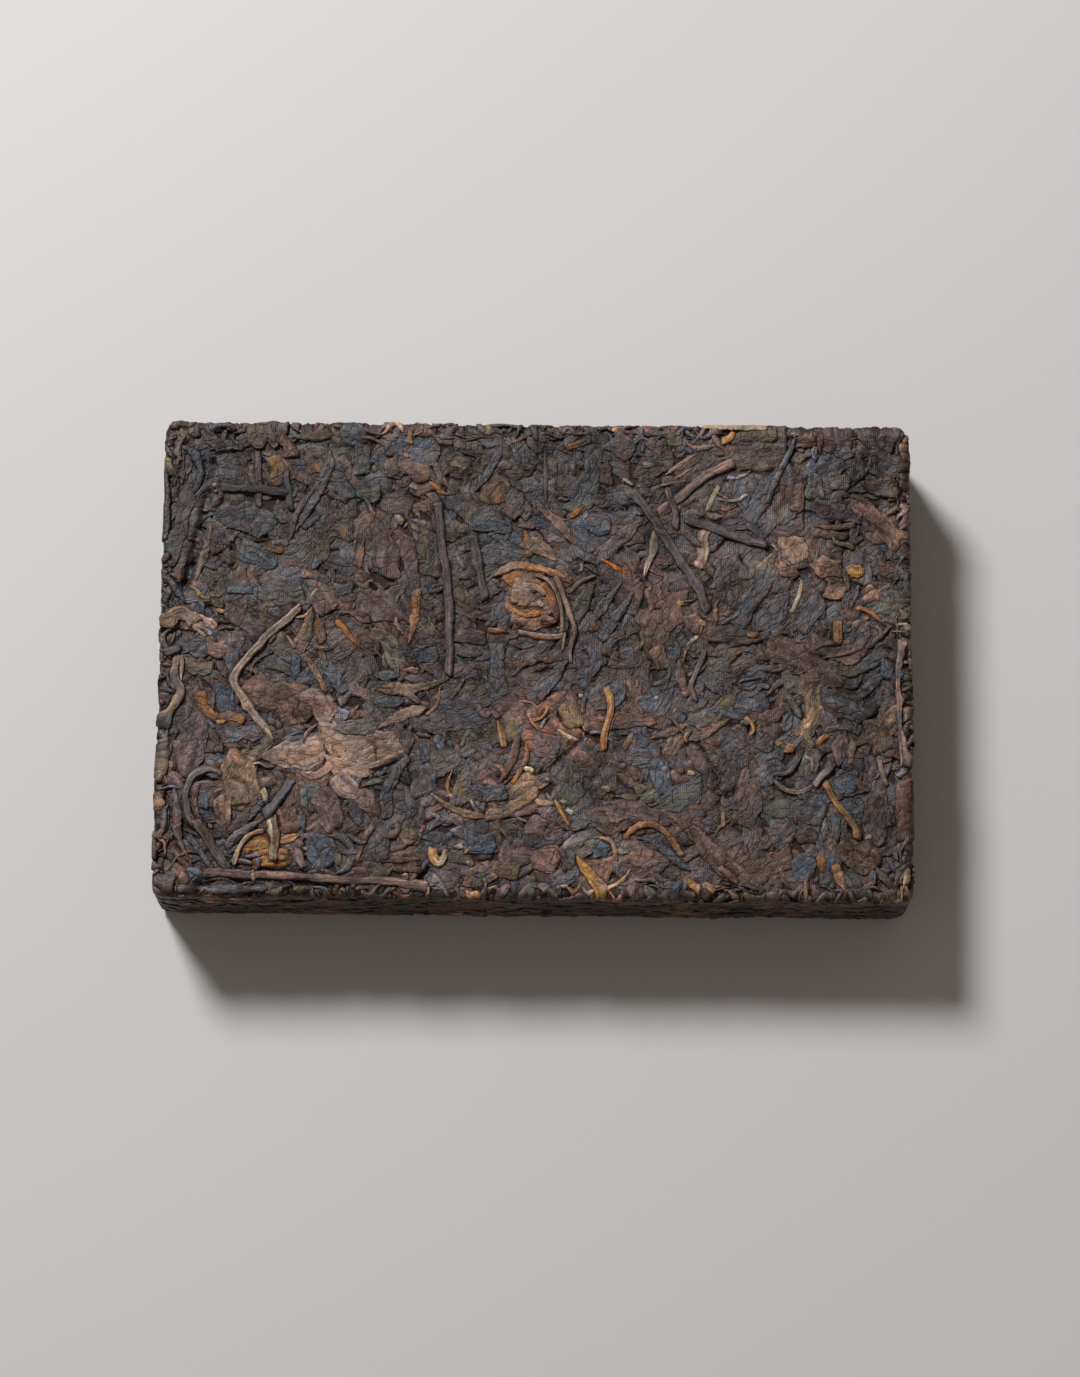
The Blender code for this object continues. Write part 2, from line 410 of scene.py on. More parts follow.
def lay(side, kind, shade, width, points, rng, second=None, hero=False):
    """Lays one fragment on a side: kind names its form, and the points are the line that it follows."""
    form, stiff = FORMS[kind], kind in STIFF
    line, along = smooth_line(points, side.step)
    length = along[-1]
    u, v, s, t, across, knots = plan_of(rng, form, kind, width, line, along, side.step)
    smooth, real = side.under(u, v, int(form["reach"]))
    if kind == "stalk":              # one height across, changing slowly along
        window = np.ones(2 * LEVELLED + 1) / (2 * LEVELLED + 1)
        level = np.convolve(np.pad(smooth.mean(1), LEVELLED, mode="edge"), window, "valid")
        smooth = np.repeat(level[:, None], len(t), 1)
    hang = form["droop"] * np.clip((abs(t) - 0.6) / 0.4, 0, 1)[None, :]
    rest = smooth * (1 - hang) + np.minimum(real, smooth) * hang
    thick = form["thick"] * (width / 2 if stiff or kind == "fibre" else min(1.0, 0.6 + width / 8))
    shell = (1 - abs(t) ** form["edge"]) ** 0.5
    finish = np.minimum(1, END_HEIGHT + np.minimum(along, length - along) / END_GAP)
    far = along[:, None] + rng.uniform(0, 50)
    wide = across + rng.uniform(0, 50)
    crumples = pleats(rng, far * 0.8, wide, FOLD)
    if kind in BROAD_KINDS:
        crumples = crumples + 0.5 * pleats(rng, far, wide, FINE_FOLD)
    curl_left, curl_right = form["curl"] * rng.uniform(-0.5, 1, 2)
    bend = np.where(t < 0, curl_left, curl_right) * t**4
    turns = math.pi * form["grooves"] * max(1, width / 2.5) * rng.uniform(0.7, 1.3) * t
    turns = turns + rng.uniform(0, 3) + 1.2 * (s[:, None] - 0.5)
    grooves = 1 - 2 * abs(np.cos(turns)) ** 0.7
    top = rest - form["sink"] * thick + thick * shell[None, :] * (finish * (1 + KNOT_RISE * knots))[:, None]
    top = top + (bend + form["crease"] * crumples - form["groove"] * grooves) * shell[None, :]
    edge_tuck = form["tuck"] * rng.uniform(0, 1) * (0.3 if hero else 1)
    dips = form["dip"] * rng.uniform(0, 1, 2) * (0.7 if hero else 1)
    top = top - (edge_tuck * ((1 + t * rng.choice([-1, 1])) / 2) ** 2.5)[None, :]
    near_start, near_end = np.exp(-along / TUCKED_OVER), np.exp((along - length) / TUCKED_OVER)
    top = top - (dips[0] * near_start + dips[1] * near_end)[:, None]
    bottom = rest - form["sink"] * thick - BITE - 0.3 * thick * stiff
    bottom = np.minimum(bottom, top.min(1, keepdims=True) - THINNEST)
    times = max(2, math.ceil(side.step / side.cell * 1.3))
    side.press(*(finer(grid, times).ravel() for grid in (u, v, top)), len(side.laid))

    first = linear(shade)
    other = linear(second) if second else first * rng.uniform(0.75, 1.25) * (1 + rng.normal(0, 0.04, 3))
    if not hero:
        first, other = first + (MEAN_SHADE - first) * ALIKE, other + (MEAN_SHADE - other) * ALIKE
    mix = np.clip(0.5 + form["patch"] * 1.8 * ripples(rng, far * 0.5, wide, PATCH), 0, 1)[..., None]
    streaks = wobble(rng, (t + 1) / 2, max(1.0, width * 0.8))[None, :] * form["streak"]
    streaks = streaks * np.clip(0.8 + 0.6 * ripples(rng, far * 0.5, wide, 4), 0, 1.4)
    rim = 1 + 0.2 * rng.uniform(-0.8, 0.8) * abs(t) ** 6
    # Painted light on the crumples' tops and painted shade in their folds and in the grooves; streaks and knots
    # are the leaf's own colour.
    shading = 1 + streaks + CREASE_PAINTED_SHADING * crumples - GROOVE_PAINTED_SHADING * grooves - KNOT_SHADE * knots[:, None]
    colour = (first * (1 - mix) + other * mix) * np.maximum(shading, DARKEST)[..., None] * rim[None, :, None]
    side.laid.append(dict(kind=kind, u=u, v=v, top=top, bottom=bottom, colour=colour, s=along, across=across,
                          t=t, hero=hero, size=length * width, shade=shade))


# ---------------------------------------------------------------------------- laid from a list
# The fragments that stand out on the pressed face, by kind, one a line: shade, second shade, width, then
# the places that it runs through, as x,y in mm seen from above.  Later lines lie over earlier ones.
BY_HAND = {
    "leaf": """
tan gold 5 -49,39 -48,36 -47.6,33
orange russet 2.6 -42.7,36.6 -39.4,35.8
slate blue 4 -37,43.4 -32,41.2
brown olive 2 -46,42.2 -38.5,42.8
brown grey 3.4 -64.8,33 -66.3,25 -67.4,17
slate blue 5 -54.8,21 -51,18.8 -48.3,17
gold olive 2.6 -36.4,25.4 -34.4,22
plum slate 8 -60,27 -54,26.5 -48.5,25
olive moss 3.2 -40.3,26 -39.8,18
plum brown 5 -61.5,24 -58.5,20
tan brown 3 -27.4,38.2 -26.8,34.8
pink tan 4.4 -25.4,37 -22.8,36 -20,34.4
plum brown 4 -29,30 -23,29
moss slate 4.5 -33.8,32.5 -29.2,31.5
grey moss 4 -33,41 -33,35
straw tan 2.6 -16,38 -12.5,37
blue slate 3.5 -11.5,25.8 -4.6,25.2
brown pink 5 -29.5,26.5 -28,21 -27,15
olive moss 5 -20.5,24.5 -20,20 -19.5,15.5
olive orange 6 -8.5,36.5 -7.5,29.5
grey brown 4 -4.5,32.5 -4.3,26.5
brown orange 2.5 -2,24.5 -1,19.5
slate umber 3 -3,38 1,38
moss slate 4.6 10.4,41.5 10.6,36.5 9.2,32 6.6,28
brown plum 6 13.5,41 18.5,41
pink clay 3 20.5,42 23.5,40.5
moss olive 3.5 25.5,45 25.5,41
umber plum 3 18.7,34 23.3,34.3
slate blue 4 8,25.5 14,25.5
brown grey 7.4 35.4,38 41,39.6 46.8,40.4
grey brown 8.5 46.5,38.5 46.4,32 45.4,26
slate grey 6.5 39,36 40.4,30 43,23.6
plum slate 4 44.4,35.6 42,31 39.6,26.5
brown russet 4 48.5,34 48.5,28.5
plum brown 5 53.3,42.5 59,41.5
grey plum 4 55.6,40.3 59.5,39.8
grey brown 4.2 54.6,34.5 58.6,34.3
moss grey 4 52,36 52,31
plum umber 5.6 51,29.6 55,29.2 60,28.4
brown clay 5 58.5,31 62,28.8 65,25.6 67.6,22.6
umber plum 6 60,43.2 63.5,42.6 67,41.6
plum umber 5.5 62,38.6 65,37.4 68.4,36.6
umber brown 5 60.5,34.6 64,33.6 67.6,33.8
beige tan 5.4 47.2,23.8 48.4,18.6
tan russet 4.6 51,18.2 57,17.6
olive tan 3 -41.6,9.4 -42.4,5 -43.9,1
clay brown 7.5 -54.6,-6.4 -50,-7.4 -45,-8.6 -41,-11.4
clay beige 5 -43.5,-7.6 -40,-8.2 -37.2,-12
slate blue 4 -57.5,-5 -56.5,-11
slate moss 3 -56.3,0.5 -55.8,-4.5
pink plum 6.4 -61.7,-6 -62.6,-14 -64.3,-23
slate blue 4.5 -65.5,1.5 -60.5,1.5
moss grey 6 -51,12.8 -43,12
plum slate 3 -37.5,13 -34,13
olive moss 3 -64.5,-2.5 -59.5,-2.5
slate blue 3.5 -22.2,0.5 -17.8,0.5
brown pink 8 -33,12 -29,10 -25,7
tan clay 9.5 -5.4,11.6 -0.5,11.3 4.6,10.8
tan orange 3.6 -6,14.8 -2.5,15.8 1.5,15.6
beige tan 6.4 -4.6,12.8 -0.5,12.2 3.2,11
tan clay 4.4 -4.6,7.6 -0.5,7 3.8,7.4
olive tan 3.4 -1.8,22.6 1.5,20.8 4,18.8
slate plum 8 -19.6,-10 -15,-10.4 -9.6,-9.4
brown russet 6.5 25.5,13 24.5,9 24,4
russet brown 6.5 21.8,9.5 21.6,5 21.4,0
brown tan 3.4 28.5,8.5 30.5,4.5
clay brown 4 21.5,14 22.5,9.5
olive tan 3 22.3,2.5 23.6,-2
moss grey 4 32,-1 36,-1
olive slate 3 37,-7 34,-9.5 31,-12
slate umber 4 43.5,16 40,11 37.5,6
slate plum 5 47,13 44,9 41,5.5
plum slate 4 53,12.5 51,9 49,5.5
tan russet 3.4 53.4,12.2 57.8,14.2
pink brown 6 43.2,3.8 47.5,1.4 52,-1.4 56.8,-4.6
pink clay 4.4 51.2,3.8 56,2 60.6,0.6
blue slate 2.5 65.2,0.2 64.8,-3.2
slate umber 6.2 53,-7 57,-8.4 61.6,-10.8
russet brown 3 41.4,-11.6 46.2,-9.4
olive brown 5 62.2,-11 63.3,-14 64,-17.4
olive tan 7.5 -55.5,-17.5 -54,-22 -52.5,-28
slate grey 3.4 -57,-15 -53,-14.6 -49.8,-15.2
slate blue 2 -60.7,-25.5 -60.3,-29
brown tan 3.6 -57.5,-26.5 -56.8,-30 -56.2,-34.5
gold orange 5 -54,-35.4 -50,-35 -46,-36.2
gold orange 4.2 -51.4,-38.6 -47.8,-37.8 -44,-38.6
orange olive 2.8 -47.3,-37.4 -44.6,-37.6
russet brown 5 -45.6,-28.5 -44.3,-33.4
slate blue 2 -42.6,-29.2 -42,-33
blue slate 6 -40.8,-33.5 -39,-36.5 -37.5,-39.5
beige tan 6.4 -50,-19 -44,-18.6 -38.4,-17.8
slate moss 4 -41,-24 -40.8,-29.5
pink plum 5 -39.5,-25.5 -36,-32.4
umber grey 3.5 -69,-41.5 -65.5,-43
beige pink 2 -43.5,-36 -42,-40
beige tan 6.6 -39,-15.6 -32,-16.8 -24.2,-16.6
beige tan 5 -37.5,-21 -33,-20.6 -29,-19.4
grey moss 3 -37,-13.6 -29,-13
blue slate 2.4 -20.3,-16 -19.8,-20
plum slate 5 -20.6,-20.3 -20,-26
beige pink 4.4 -36.4,-22.6 -32,-27
brown pink 4.6 -31.6,-25 -28.6,-30.4
olive moss 2.5 -36,-36 -35.6,-39.5
olive tan 4 -24.5,-33.6 -21,-34
grey olive 3.2 -11,-19.7 -12.8,-23.5 -14,-28
slate umber 4 -11,-25.8 -5,-25
slate blue 3.6 -13,-35 -10,-35.4 -6.8,-34.6
pink plum 7 -6,-36 0.5,-37.5
olive brown 4 -7.5,-39.5 -2.5,-40.3
grey moss 6.5 5.6,-19 6.2,-23.5 6.6,-28
pink plum 5 -0.2,-16 4.6,-17.4
slate plum 6 14.5,-16 18.5,-17.5 23,-17.5
straw olive 2.2 18.5,-24.2 20.6,-24.8
plum slate 5 35.5,-16 36,-21 35,-25
moss slate 5 22.5,-27.5 27,-25.8 31,-24
russet plum 6.5 9.6,-29.6 15,-29.6 20,-29.4 25,-31.2
pink plum 4.6 13,-28.6 18,-28.8 23,-30.5
pink clay 4 17.5,-36.8 21.5,-37.4 25.5,-37.6
slate blue 3.4 11,-36.2 14.2,-35.8
plum pink 4 -1.2,-31 2.2,-32.3
pink clay 6 0,-36.5 4.5,-39
umber slate 3 6.3,-35.8 6.8,-39.8
brown plum 3 36,-17 39,-17
plum slate 4 41,-14.6 44,-16.5
plum pink 3.2 56.2,-14 56,-20
russet brown 2.8 67.7,-22.4 68.2,-27 67.9,-33.8
slate moss 4.6 42,-28.4 47,-28 53.4,-29
slate blue 5 55,-22.5 59.5,-23
brown plum 5.5 39.8,-22.5 39.3,-27 38.5,-31.5
brown umber 5 63,-25 62.8,-30 62.5,-35
russet brown 6.5 56,-34.5 59.5,-36.5 63,-38.5
russet brown 5 38.8,-41 42.5,-39.2 47.4,-36.6
brown umber 3 47.5,-33 52,-33
slate blue 5 47.5,-37.5 51,-40.5
""",
    "strip": """
orange russet 1.8 -47.8,40.5 -46.8,37.5
grey slate 2.3 -39.5,41.5 -39,37 -41,32 -43,28 -45,24
brown plum 1.3 -40,27.5 -43.5,24.5
pink beige 1.9 -60.5,25.5 -61.6,20 -63.3,14
slate blue 2 -64.5,40 -62.9,35 -64,31
brown moss 0.7 -69.3,36 -69.2,29 -69.3,22
orange olive 1.8 -51,20.7 -47,20.3
brown plum 1.5 -52.4,41 -52.2,36 -51.8,28.5
russet brown 1.4 -41.3,32.8 -44.4,28.2 -46.3,21.3
brown russet 1.2 -26,34 -25,33 -23.8,33.6
brown pink 1.8 -22.5,31.5 -17.5,34
plum slate 1.8 -6.5,40.5 -9,36 -11.5,32
pink plum 3.2 -24.4,22.5 -23,17 -21.8,12.5
tan orange 1.9 -22,13 -22.3,8 -23.5,2.5
orange brown 2 -32,22.6 -33.3,17
grey brown 1.2 -19.5,42.6 -15.5,42.4
brown pink 1.5 -4,25.5 0,25.5
slate grey 1 -20.5,14.5 -17,10
russet brown 2.6 13,38.3 13,33.5
umber slate 3 10.5,30.5 17,31
brown tan 2.4 0.4,29 4,26 7.6,21.8
orange brown 1.5 6,27 9,29.5
clay pink 1.5 32,27.4 35,27.6
brown russet 1.8 27.5,25 30.5,21.5
olive brown 2.6 36,42.6 40,43.2 45,43.4
grey slate 1.3 48.5,45 48,42 46.6,39 45,35.5 44,33 43,30
brown russet 1.5 53,43.5 53,39.5
pink russet 1.3 51.5,26 55,25.6 59.5,26.2
tan brown 2.2 45,17.3 49,16.4
russet brown 1.8 51.6,24.6 58,23.8
tan gold 2.6 57.6,17.6 61.2,16.8
slate blue 2 -44,0.5 -44.6,-4.5
russet orange 2 -40.5,8 -39.3,2.5
tan brown 1.4 -42.5,0 -40.5,-3 -38.5,-7
slate blue 2.5 -40,1 -37,-4 -35,-7
orange russet 2.2 -61.6,-6.8 -61,-10 -58.8,-11.7 -55.8,-11.4 -53.4,-12.4
tan beige 3 -69.3,5.6 -66,8 -62.6,6.2
slate grey 1.5 -69.5,15.5 -67,13 -65,10
tan grey 2 -43.5,16 -38,14.5
blue grey 1.8 -57.5,12.5 -52.5,12.5
orange brown 1.3 -37,7 -34,3.5 -32,1.5
olive tan 2.8 -29.5,-6 -23,-6 -15.7,-4
tan beige 2.4 -29,-13.5 -24,-11 -20,-9.5
moss slate 2.5 -30,-3.5 -25,-3.5
moss slate 2.5 -30,-8.5 -24,-8.5
pink clay 1.6 -24.5,-2.5 -21.5,-2.5
orange brown 2 1.4,14.6 3.2,11 4.2,7.4
tan orange 1.3 -4.6,9.4 -2,8.2 1,8.8
beige tan 1.2 -2.6,14 0,13.6 1.8,12
tan orange 2 -8,15.6 -5,17.4 -1,17.8
tan orange 1.9 -2.2,17.6 1.5,17 4.2,15.8 7,14.2
olive moss 3 11,15 9,11 7,7
brown umber 3 -15,4 -9,4
brown plum 1.8 -14.5,0.8 -9.5,0.8
plum pink 3 -15.5,-2.5 -10.5,-2.5
grey slate 3 -7,3 -7,-6.5
plum pink 1.4 -10.5,-9.5 -9,-11 -8,-10 -6.6,-11.5
slate umber 3.4 6.4,0.6 3,-4 -1,-8.5
grey plum 2.2 16,15 12.5,10 9,5
plum slate 2.2 18,13 15,8 12,3.5
clay pink 2.2 26.5,0 27,-3.5 28,-7
russet brown 1.8 21.5,-15 24.5,-14 28,-12.6
brown pink 1.1 50.4,1.6 54,3.4 58.6,3.6
clay pink 1 53,0.6 57,1.4 61,2.8
moss slate 1.8 46,-5 47.5,-8 49,-11
grey moss 1.3 53.4,-13.2 57,-12.5 60,-13.6
brown plum 1.5 36,3 42,4
grey olive 1.9 -67.5,-14 -68.4,-19 -69,-24
tan brown 1.4 -69.5,-26 -69.2,-28.5 -68.3,-30
pink russet 1.3 -61.6,-24 -62.3,-28 -61,-31.5 -59.8,-33.3
pink grey 1.8 -66,-25 -65.3,-29 -65.3,-33 -64,-36.5 -62.2,-39.7
slate grey 1.5 -63.2,-34 -60.5,-37.5 -58,-41
slate umber 2.4 -49.5,-26.8 -52.5,-30 -56.2,-33.6
slate grey 2 -49.5,-30.8 -53,-33 -56.5,-36.2
straw grey 1.5 -49.8,-25 -48.6,-28.4
grey slate 1 -52.8,-37.9 -49.5,-37.4
grey slate 1.3 -50.4,-38 -50.1,-40.3
clay beige 1.8 -43,-22 -40.5,-22.6 -37,-20.3
brown grey 0.7 -69.6,-33 -69.4,-38.5
beige tan 1.8 -30.5,-21 -27,-19.6 -23.8,-18
moss slate 2.4 -23.3,-18.5 -25.4,-22 -27,-26 -26.8,-30.5
brown pink 1.9 -25.6,-30.5 -24.8,-32.4 -26.6,-33.6 -29,-32.8
russet beige 1.4 -29.4,-31.8 -31.3,-35 -32.5,-38.2
slate moss 1.9 -37.8,-33.8 -34.5,-34.3 -33.2,-36.8 -33.9,-39.6 -36.8,-41.3
brown umber 1.6 -29,-38 -20.5,-38
umber brown 1.4 -26,-39.8 -20,-40
orange tan 0.9 -15,-21.3 -15.9,-24 -15.3,-26.5
tan olive 1.6 -19,-25.6 -16.4,-27.6 -12,-29.5 -7.4,-30
olive tan 2.3 -9,-30 -5,-28.8 -2,-26.9 0.8,-24.9
brown russet 2 -3,-14 -4,-19 -6.3,-23.5
orange russet 1.1 -1.8,-15.5 -1.3,-18 -2.6,-21.5 -4,-23.8
tan olive 1.6 -9.2,-42.2 -6.6,-40.8
olive straw 1.3 18.2,-13.8 16.4,-17.2
tan olive 1.5 0.3,-27.2 3.8,-27.6
olive straw 1.5 16,-25.8 19.2,-26.4
pink plum 3 27.8,-16.5 31,-19.8 33.6,-24
brown pink 4.2 23.6,-28.4 28,-31.4 32,-35.6 36,-39.6 42.2,-43.6
tan orange 1.4 16.6,-33.8 19,-31.6 22,-31.2 25,-33.6 27.2,-37
blue slate 2 19,-33.6 22.5,-34.6 25,-36.6 27.6,-39 30.3,-39.6
russet tan 1 11,-33.6 14,-34.2 15.4,-38.2
gold tan 2.2 8,-37.2 9.6,-39.6 12,-42.5 13.5,-44
tan gold 1.6 27.5,-41.5 30.5,-43
tan gold 1.6 31,-42 33.3,-43.3
straw olive 1.2 49.8,-13.6 51.4,-16.6
clay tan 1.5 58.8,-15 58.1,-19.6
plum slate 1.8 55.2,-28.6 55.6,-34
plum grey 1.6 53.5,-29.5 53.3,-34
orange russet 1.9 53,-35.6 52.4,-38 53,-40
tan orange 2.3 55,-38.2 56.1,-41.5 57.2,-43.8
plum grey 3 20,27 15,22.5 11,18
""",
    "crumb": """
tan straw 1.2 -46.2,44.6 -44.6,44.6
straw tan 1.2 -54.3,21.7 -52.7,21.3
pale tan 1 -60.7,33 -59.8,32.4
tan pale 0.9 -60.4,31.4 -59.6,31.8
tan straw 2 -7.3,37.3 -4.7,36.8
gold straw 1.2 -9.7,43.6 -8.6,43.4
tan straw 1.2 -24.8,41.6 -23.2,41.4
russet orange 1.2 1.3,42.8 1.3,41.6
straw grey 1.5 19.8,37.6 22.2,37.4
brown tan 1.6 28.3,31.3 29.4,30.7
clay tan 1.6 45.2,18.6 46.6,18
gold orange 1.2 -58.6,-12.8 -57,-12.3
gold orange 1.4 -59.3,8.7 -57.6,8.3
tan orange 1.4 -3.2,10.6 -1.6,10
umber russet 1 -0.9,13.2 0,12.6
beige tan 1.2 0.4,11 1.4,9.8
orange russet 1.5 10.5,6.6 11.5,5.4
gold orange 1.3 26.2,11 27.5,10.5
gold tan 1.3 30.3,7.2 31.7,6.8
pale straw 0.9 8.1,-7 9,-7
straw tan 1 22,-7.3 23,-7.3
gold orange 1.3 39.2,5 41.5,5
gold orange 1.2 60.6,8.5 61.8,8
orange tan 1.4 -59.6,-31.8 -58.6,-32.4
russet tan 1.6 -33.4,-42.9 -32.4,-42.7
beige pink 1.5 -24.3,-41.6 -22.8,-41
tan orange 1.6 -14.6,-35.6 -13,-35.4
orange gold 1.2 -12.6,-37 -11.8,-36
pale straw 0.8 -12.2,-38.6 -11.7,-38.3
tan straw 1.2 5,-26.7 6,-27.3
pale blue 1.2 5.9,-28.4 7.2,-29.2
orange tan 1.5 12.4,-24.2 14.2,-24.8
clay tan 1.2 23.6,-20.4 24.6,-21
russet orange 1.4 26.5,-20.8 27.6,-21.4
tan straw 1.4 28.2,-21.4 29.6,-21.6
pale blue 1 30.6,-28.6 31.3,-29.6
pink beige 1.6 1,-43 3,-42.8
beige grey 1.2 5,-43 6.4,-42.7
orange gold 2 46.2,-16.5 48,-16.7
gold straw 1 44.5,-16 45.6,-15.6
pale straw 0.9 59.8,-16.7 60.3,-17.3
tan straw 1.2 60.8,-33.2 61.9,-33.2
clay pink 1.7 -49,-42.6 -47.4,-43.6
""",
    "bud": """
straw tan 1.9 22.6,25 21.6,20.5 20.2,15.8
orange gold 1.5 34.5,42 37,43.5
orange russet 1.2 -9,5.5 -5,4.8
orange tan 1.4 -3.2,4.9 0,4.4 3,4 5.8,4.4
tan olive 0.9 6,12.5 8,14.5 11,16
gold orange 1.3 -6.8,-12 -6,-14.5 -5.5,-17
orange russet 0.8 -1,-12 1.5,-11 2.7,-9
orange gold 1.5 13,-5.5 14.2,-8.5 13.8,-11 12.8,-14 12.8,-17.5
gold orange 1.9 56.2,7.8 55.9,3.3
orange russet 1.3 59.6,10.3 61.5,9.7 63.2,8.3 64.9,6.8
orange gold 0.9 38.8,-10.8 40,-12 40.3,-13.5 39.5,-14.3
gold orange 1.6 -46.6,-35 -42.8,-33.8
gold straw 1.8 -18.3,-35.8 -18.2,-37.6 -17.3,-38.6 -16.3,-37.7 -16.1,-36
orange gold 1.1 3.9,-26.8 5.2,-29.3 6.6,-31.6
gold orange 0.9 34.7,-28.6 34.7,-31.6
orange tan 1.3 51.9,-16.2 54,-13.9
""",
    "flap": """
pink clay 6.5 -54.4,42.4 -51,43.6 -47,43
clay russet 3.2 -48.8,43.4 -47.2,41.2 -45.9,38.3
""",
    "stalk": """
grey slate 1.3 -46.8,36 -46.3,31 -45.9,28
umber grey 1.75 -59.2,32.4 -52,32.1 -46,31.5
tan olive 0.9 0,16 2.6,14.6 4.2,12 4.8,9 5,6 4.6,4.6
tan brown 1.2 3.5,15.8 4.4,14 5.2,11.5 6.6,8 7.3,5.5 6.6,3 6.3,-0.8
grey pink 1.2 31.5,2 30,-2 29,-5 29.5,-8
brown grey 1.5 -57,-22.2 -60,-21.5 -62.4,-22.6 -63.8,-25.5 -63.6,-29 -62,-32
brown grey 2.1 -62,-31 -59,-35.5 -55.5,-40.8
grey slate 2.2 -44.3,-23.2 -46.5,-26.6 -49.5,-30.4
olive straw 2 -48.2,-30.5 -47.4,-34 -47.7,-38.5
straw gold 0.95 -54.8,-39.5 -54,-36.8 -52.4,-34.3 -50.6,-33.2 -49.2,-33
slate umber 0.55 -65,-43.6 -57,-43.9 -50,-43.6 -44,-43
clay russet 1.4 34,-39 37.5,-42
grey slate 0.95 49.2,-17.3 48.2,-19.6 47,-21 44,-21.5
grey beige 0.9 43.9,-22.6 46,-24.4 49,-24.8 51.5,-23.6
grey beige 1.5 51.3,-23.8 53,-21.6 54.8,-19.8
grey tan 1.1 63.3,-18.4 63.9,-21 64.9,-23.6
orange gold 1.5 53.3,-22.8 55,-26 57,-29 59,-31.6 59.6,-33.6
grey pink 1.9 -18.5,30 -17.5,22 -16.5,15 -16,8 -15.8,0 -15.8,-3.7
pink grey 1.9 -12,23.5 -10.5,17 -9.3,11
pink clay 2.1 37,38 31,35 27,31.5 22.5,28
grey plum 2 17.5,32.5 20,29.5 22,26.5 25,22 28,17 30,14 32,9
pink brown 1.5 24.3,33 25.3,30 26,28 25.9,25
plum grey 1.9 27.5,27 31,26 37,23.8 43,22
tan beige 1.8 -43.4,9.5 -46.4,6.8 -49.4,4 -52.4,0.8 -54.4,-2.2 -55.6,-4.5 -55,-6.3 -53.2,-9 -50.9,-12 -48.6,-15.2
tan grey 1.9 -66.3,0 -66.5,-4 -65.5,-6.5 -67.5,-11 -69,-14
plum brown 1.9 -60.2,-40.8 -56,-40.9 -50.4,-41.3
brown clay 1.7 -51,-41.2 -40,-41.5 -34,-41.9 -26,-42.3 -19,-42.8
grey tan 1.1 67.7,4 67.3,0 67,-4 67.2,-9 67.5,-15 68.2,-20
slate grey 1.8 -69.6,0.3 -65.5,1.3
""",
    "fibre": """
orange russet 0.9 -23.8,44 -24,41
brown grey 1 1.5,40 1.7,30
tan clay 0.8 24,35.5 27,37.8 29.5,39.5
tan clay 0.8 25,34.5 27,35.5 29,37
clay pink 0.6 23,33.5 28,34.5
pale tan 0.7 16,35 18,33.5
straw tan 1 31.5,28.5 34,33.5
straw tan 0.6 31,44.6 37,44.8 43,44.6
tan olive 0.7 -46,4 -44.5,1.5
tan straw 1 -40.5,13 -42,11
orange russet 0.8 -17.5,-5.5 -18,-9 -20,-11
tan straw 0.5 -27,-0.2 -23.8,-0.9
tan grey 0.5 -25.4,0 -25.2,-4
gold straw 0.7 5.5,5 5,1.5
straw tan 1 49.5,15.5 49,13 47.5,9
grey tan 0.9 63.2,6.8 64,5.7 63.8,4.3
tan straw 0.7 67,7 68.4,7.1 68.9,5.8
tan straw 1.2 -49.7,-13.5 -48,-16
umber plum 0.4 38.5,-14.5 41,-19.5
tan straw 0.8 49.9,-18.1 51,-18.9 51.1,-21
tan grey 0.9 -65.3,0 -65.3,-5
clay beige 0.9 -51.2,-40.2 -50.9,-42.4
""",
}
# Cracks and holes in the pressed face: depth, width, then the places that each runs through.
GROOVES = """
1.1 1.2 -61.2,31.5 -62.4,26 -64,19 -64.9,13
0.5 0.8 -60.6,38 -61,33
0.6 0.8 -68,-25 -67.6,-29.5 -69,-30
0.9 1.6 -60.8,-42.9 -59.6,-43
0.8 1.6 -19.9,-41.3 -19.1,-40.8
0.6 0.8 10,-14 7,-17 5,-19 0.5,-22
0.9 1.3 1.6,6.8 3.2,6
0.8 1.1 -4.4,6.3 -2.2,6.1
0.7 1.2 -30.5,13.5 -30,13.2
0.6 1.2 -44.3,-10.6 -42.3,-12.6
0.6 0.7 -30,-21.6 -27,-20.6 -24,-18.8
0.6 0.8 68.6,34.5 68.3,31.5
0.5 0.7 9,28 17,29
0.6 0.9 31,-17 34,-23.5
0.7 1.0 35.5,-25.5 37,-24.5
0.5 0.7 36.2,36.6 41,36.2 46,36.9
"""


def read_line(pairs):
    """Places on the top side's map, from x,y pairs seen from above."""
    return [from_above(*map(float, pair.split(","))) for pair in pairs]


def from_above(x, y):
    """The place on the top side's map that is seen at x, y from above."""
    past, out_x, out_y = from_core(np.array([x]), np.array([y]))
    if past[0] <= 0:
        return x, y
    turn = math.asin(min(1.0, past[0] / (EDGE_RADIUS + PILE)))
    shift = EDGE_RADIUS * turn - past[0]
    return x + out_x[0] * shift, y + out_y[0] * shift


def lay_by_hand(side, rng, kinds):
    for kind in kinds:
        for row in BY_HAND[kind].strip().splitlines():
            shade, second, width, *line = row.split()
            lay(side, kind, shade, float(width), read_line(line), rng, second=second, hero=True)


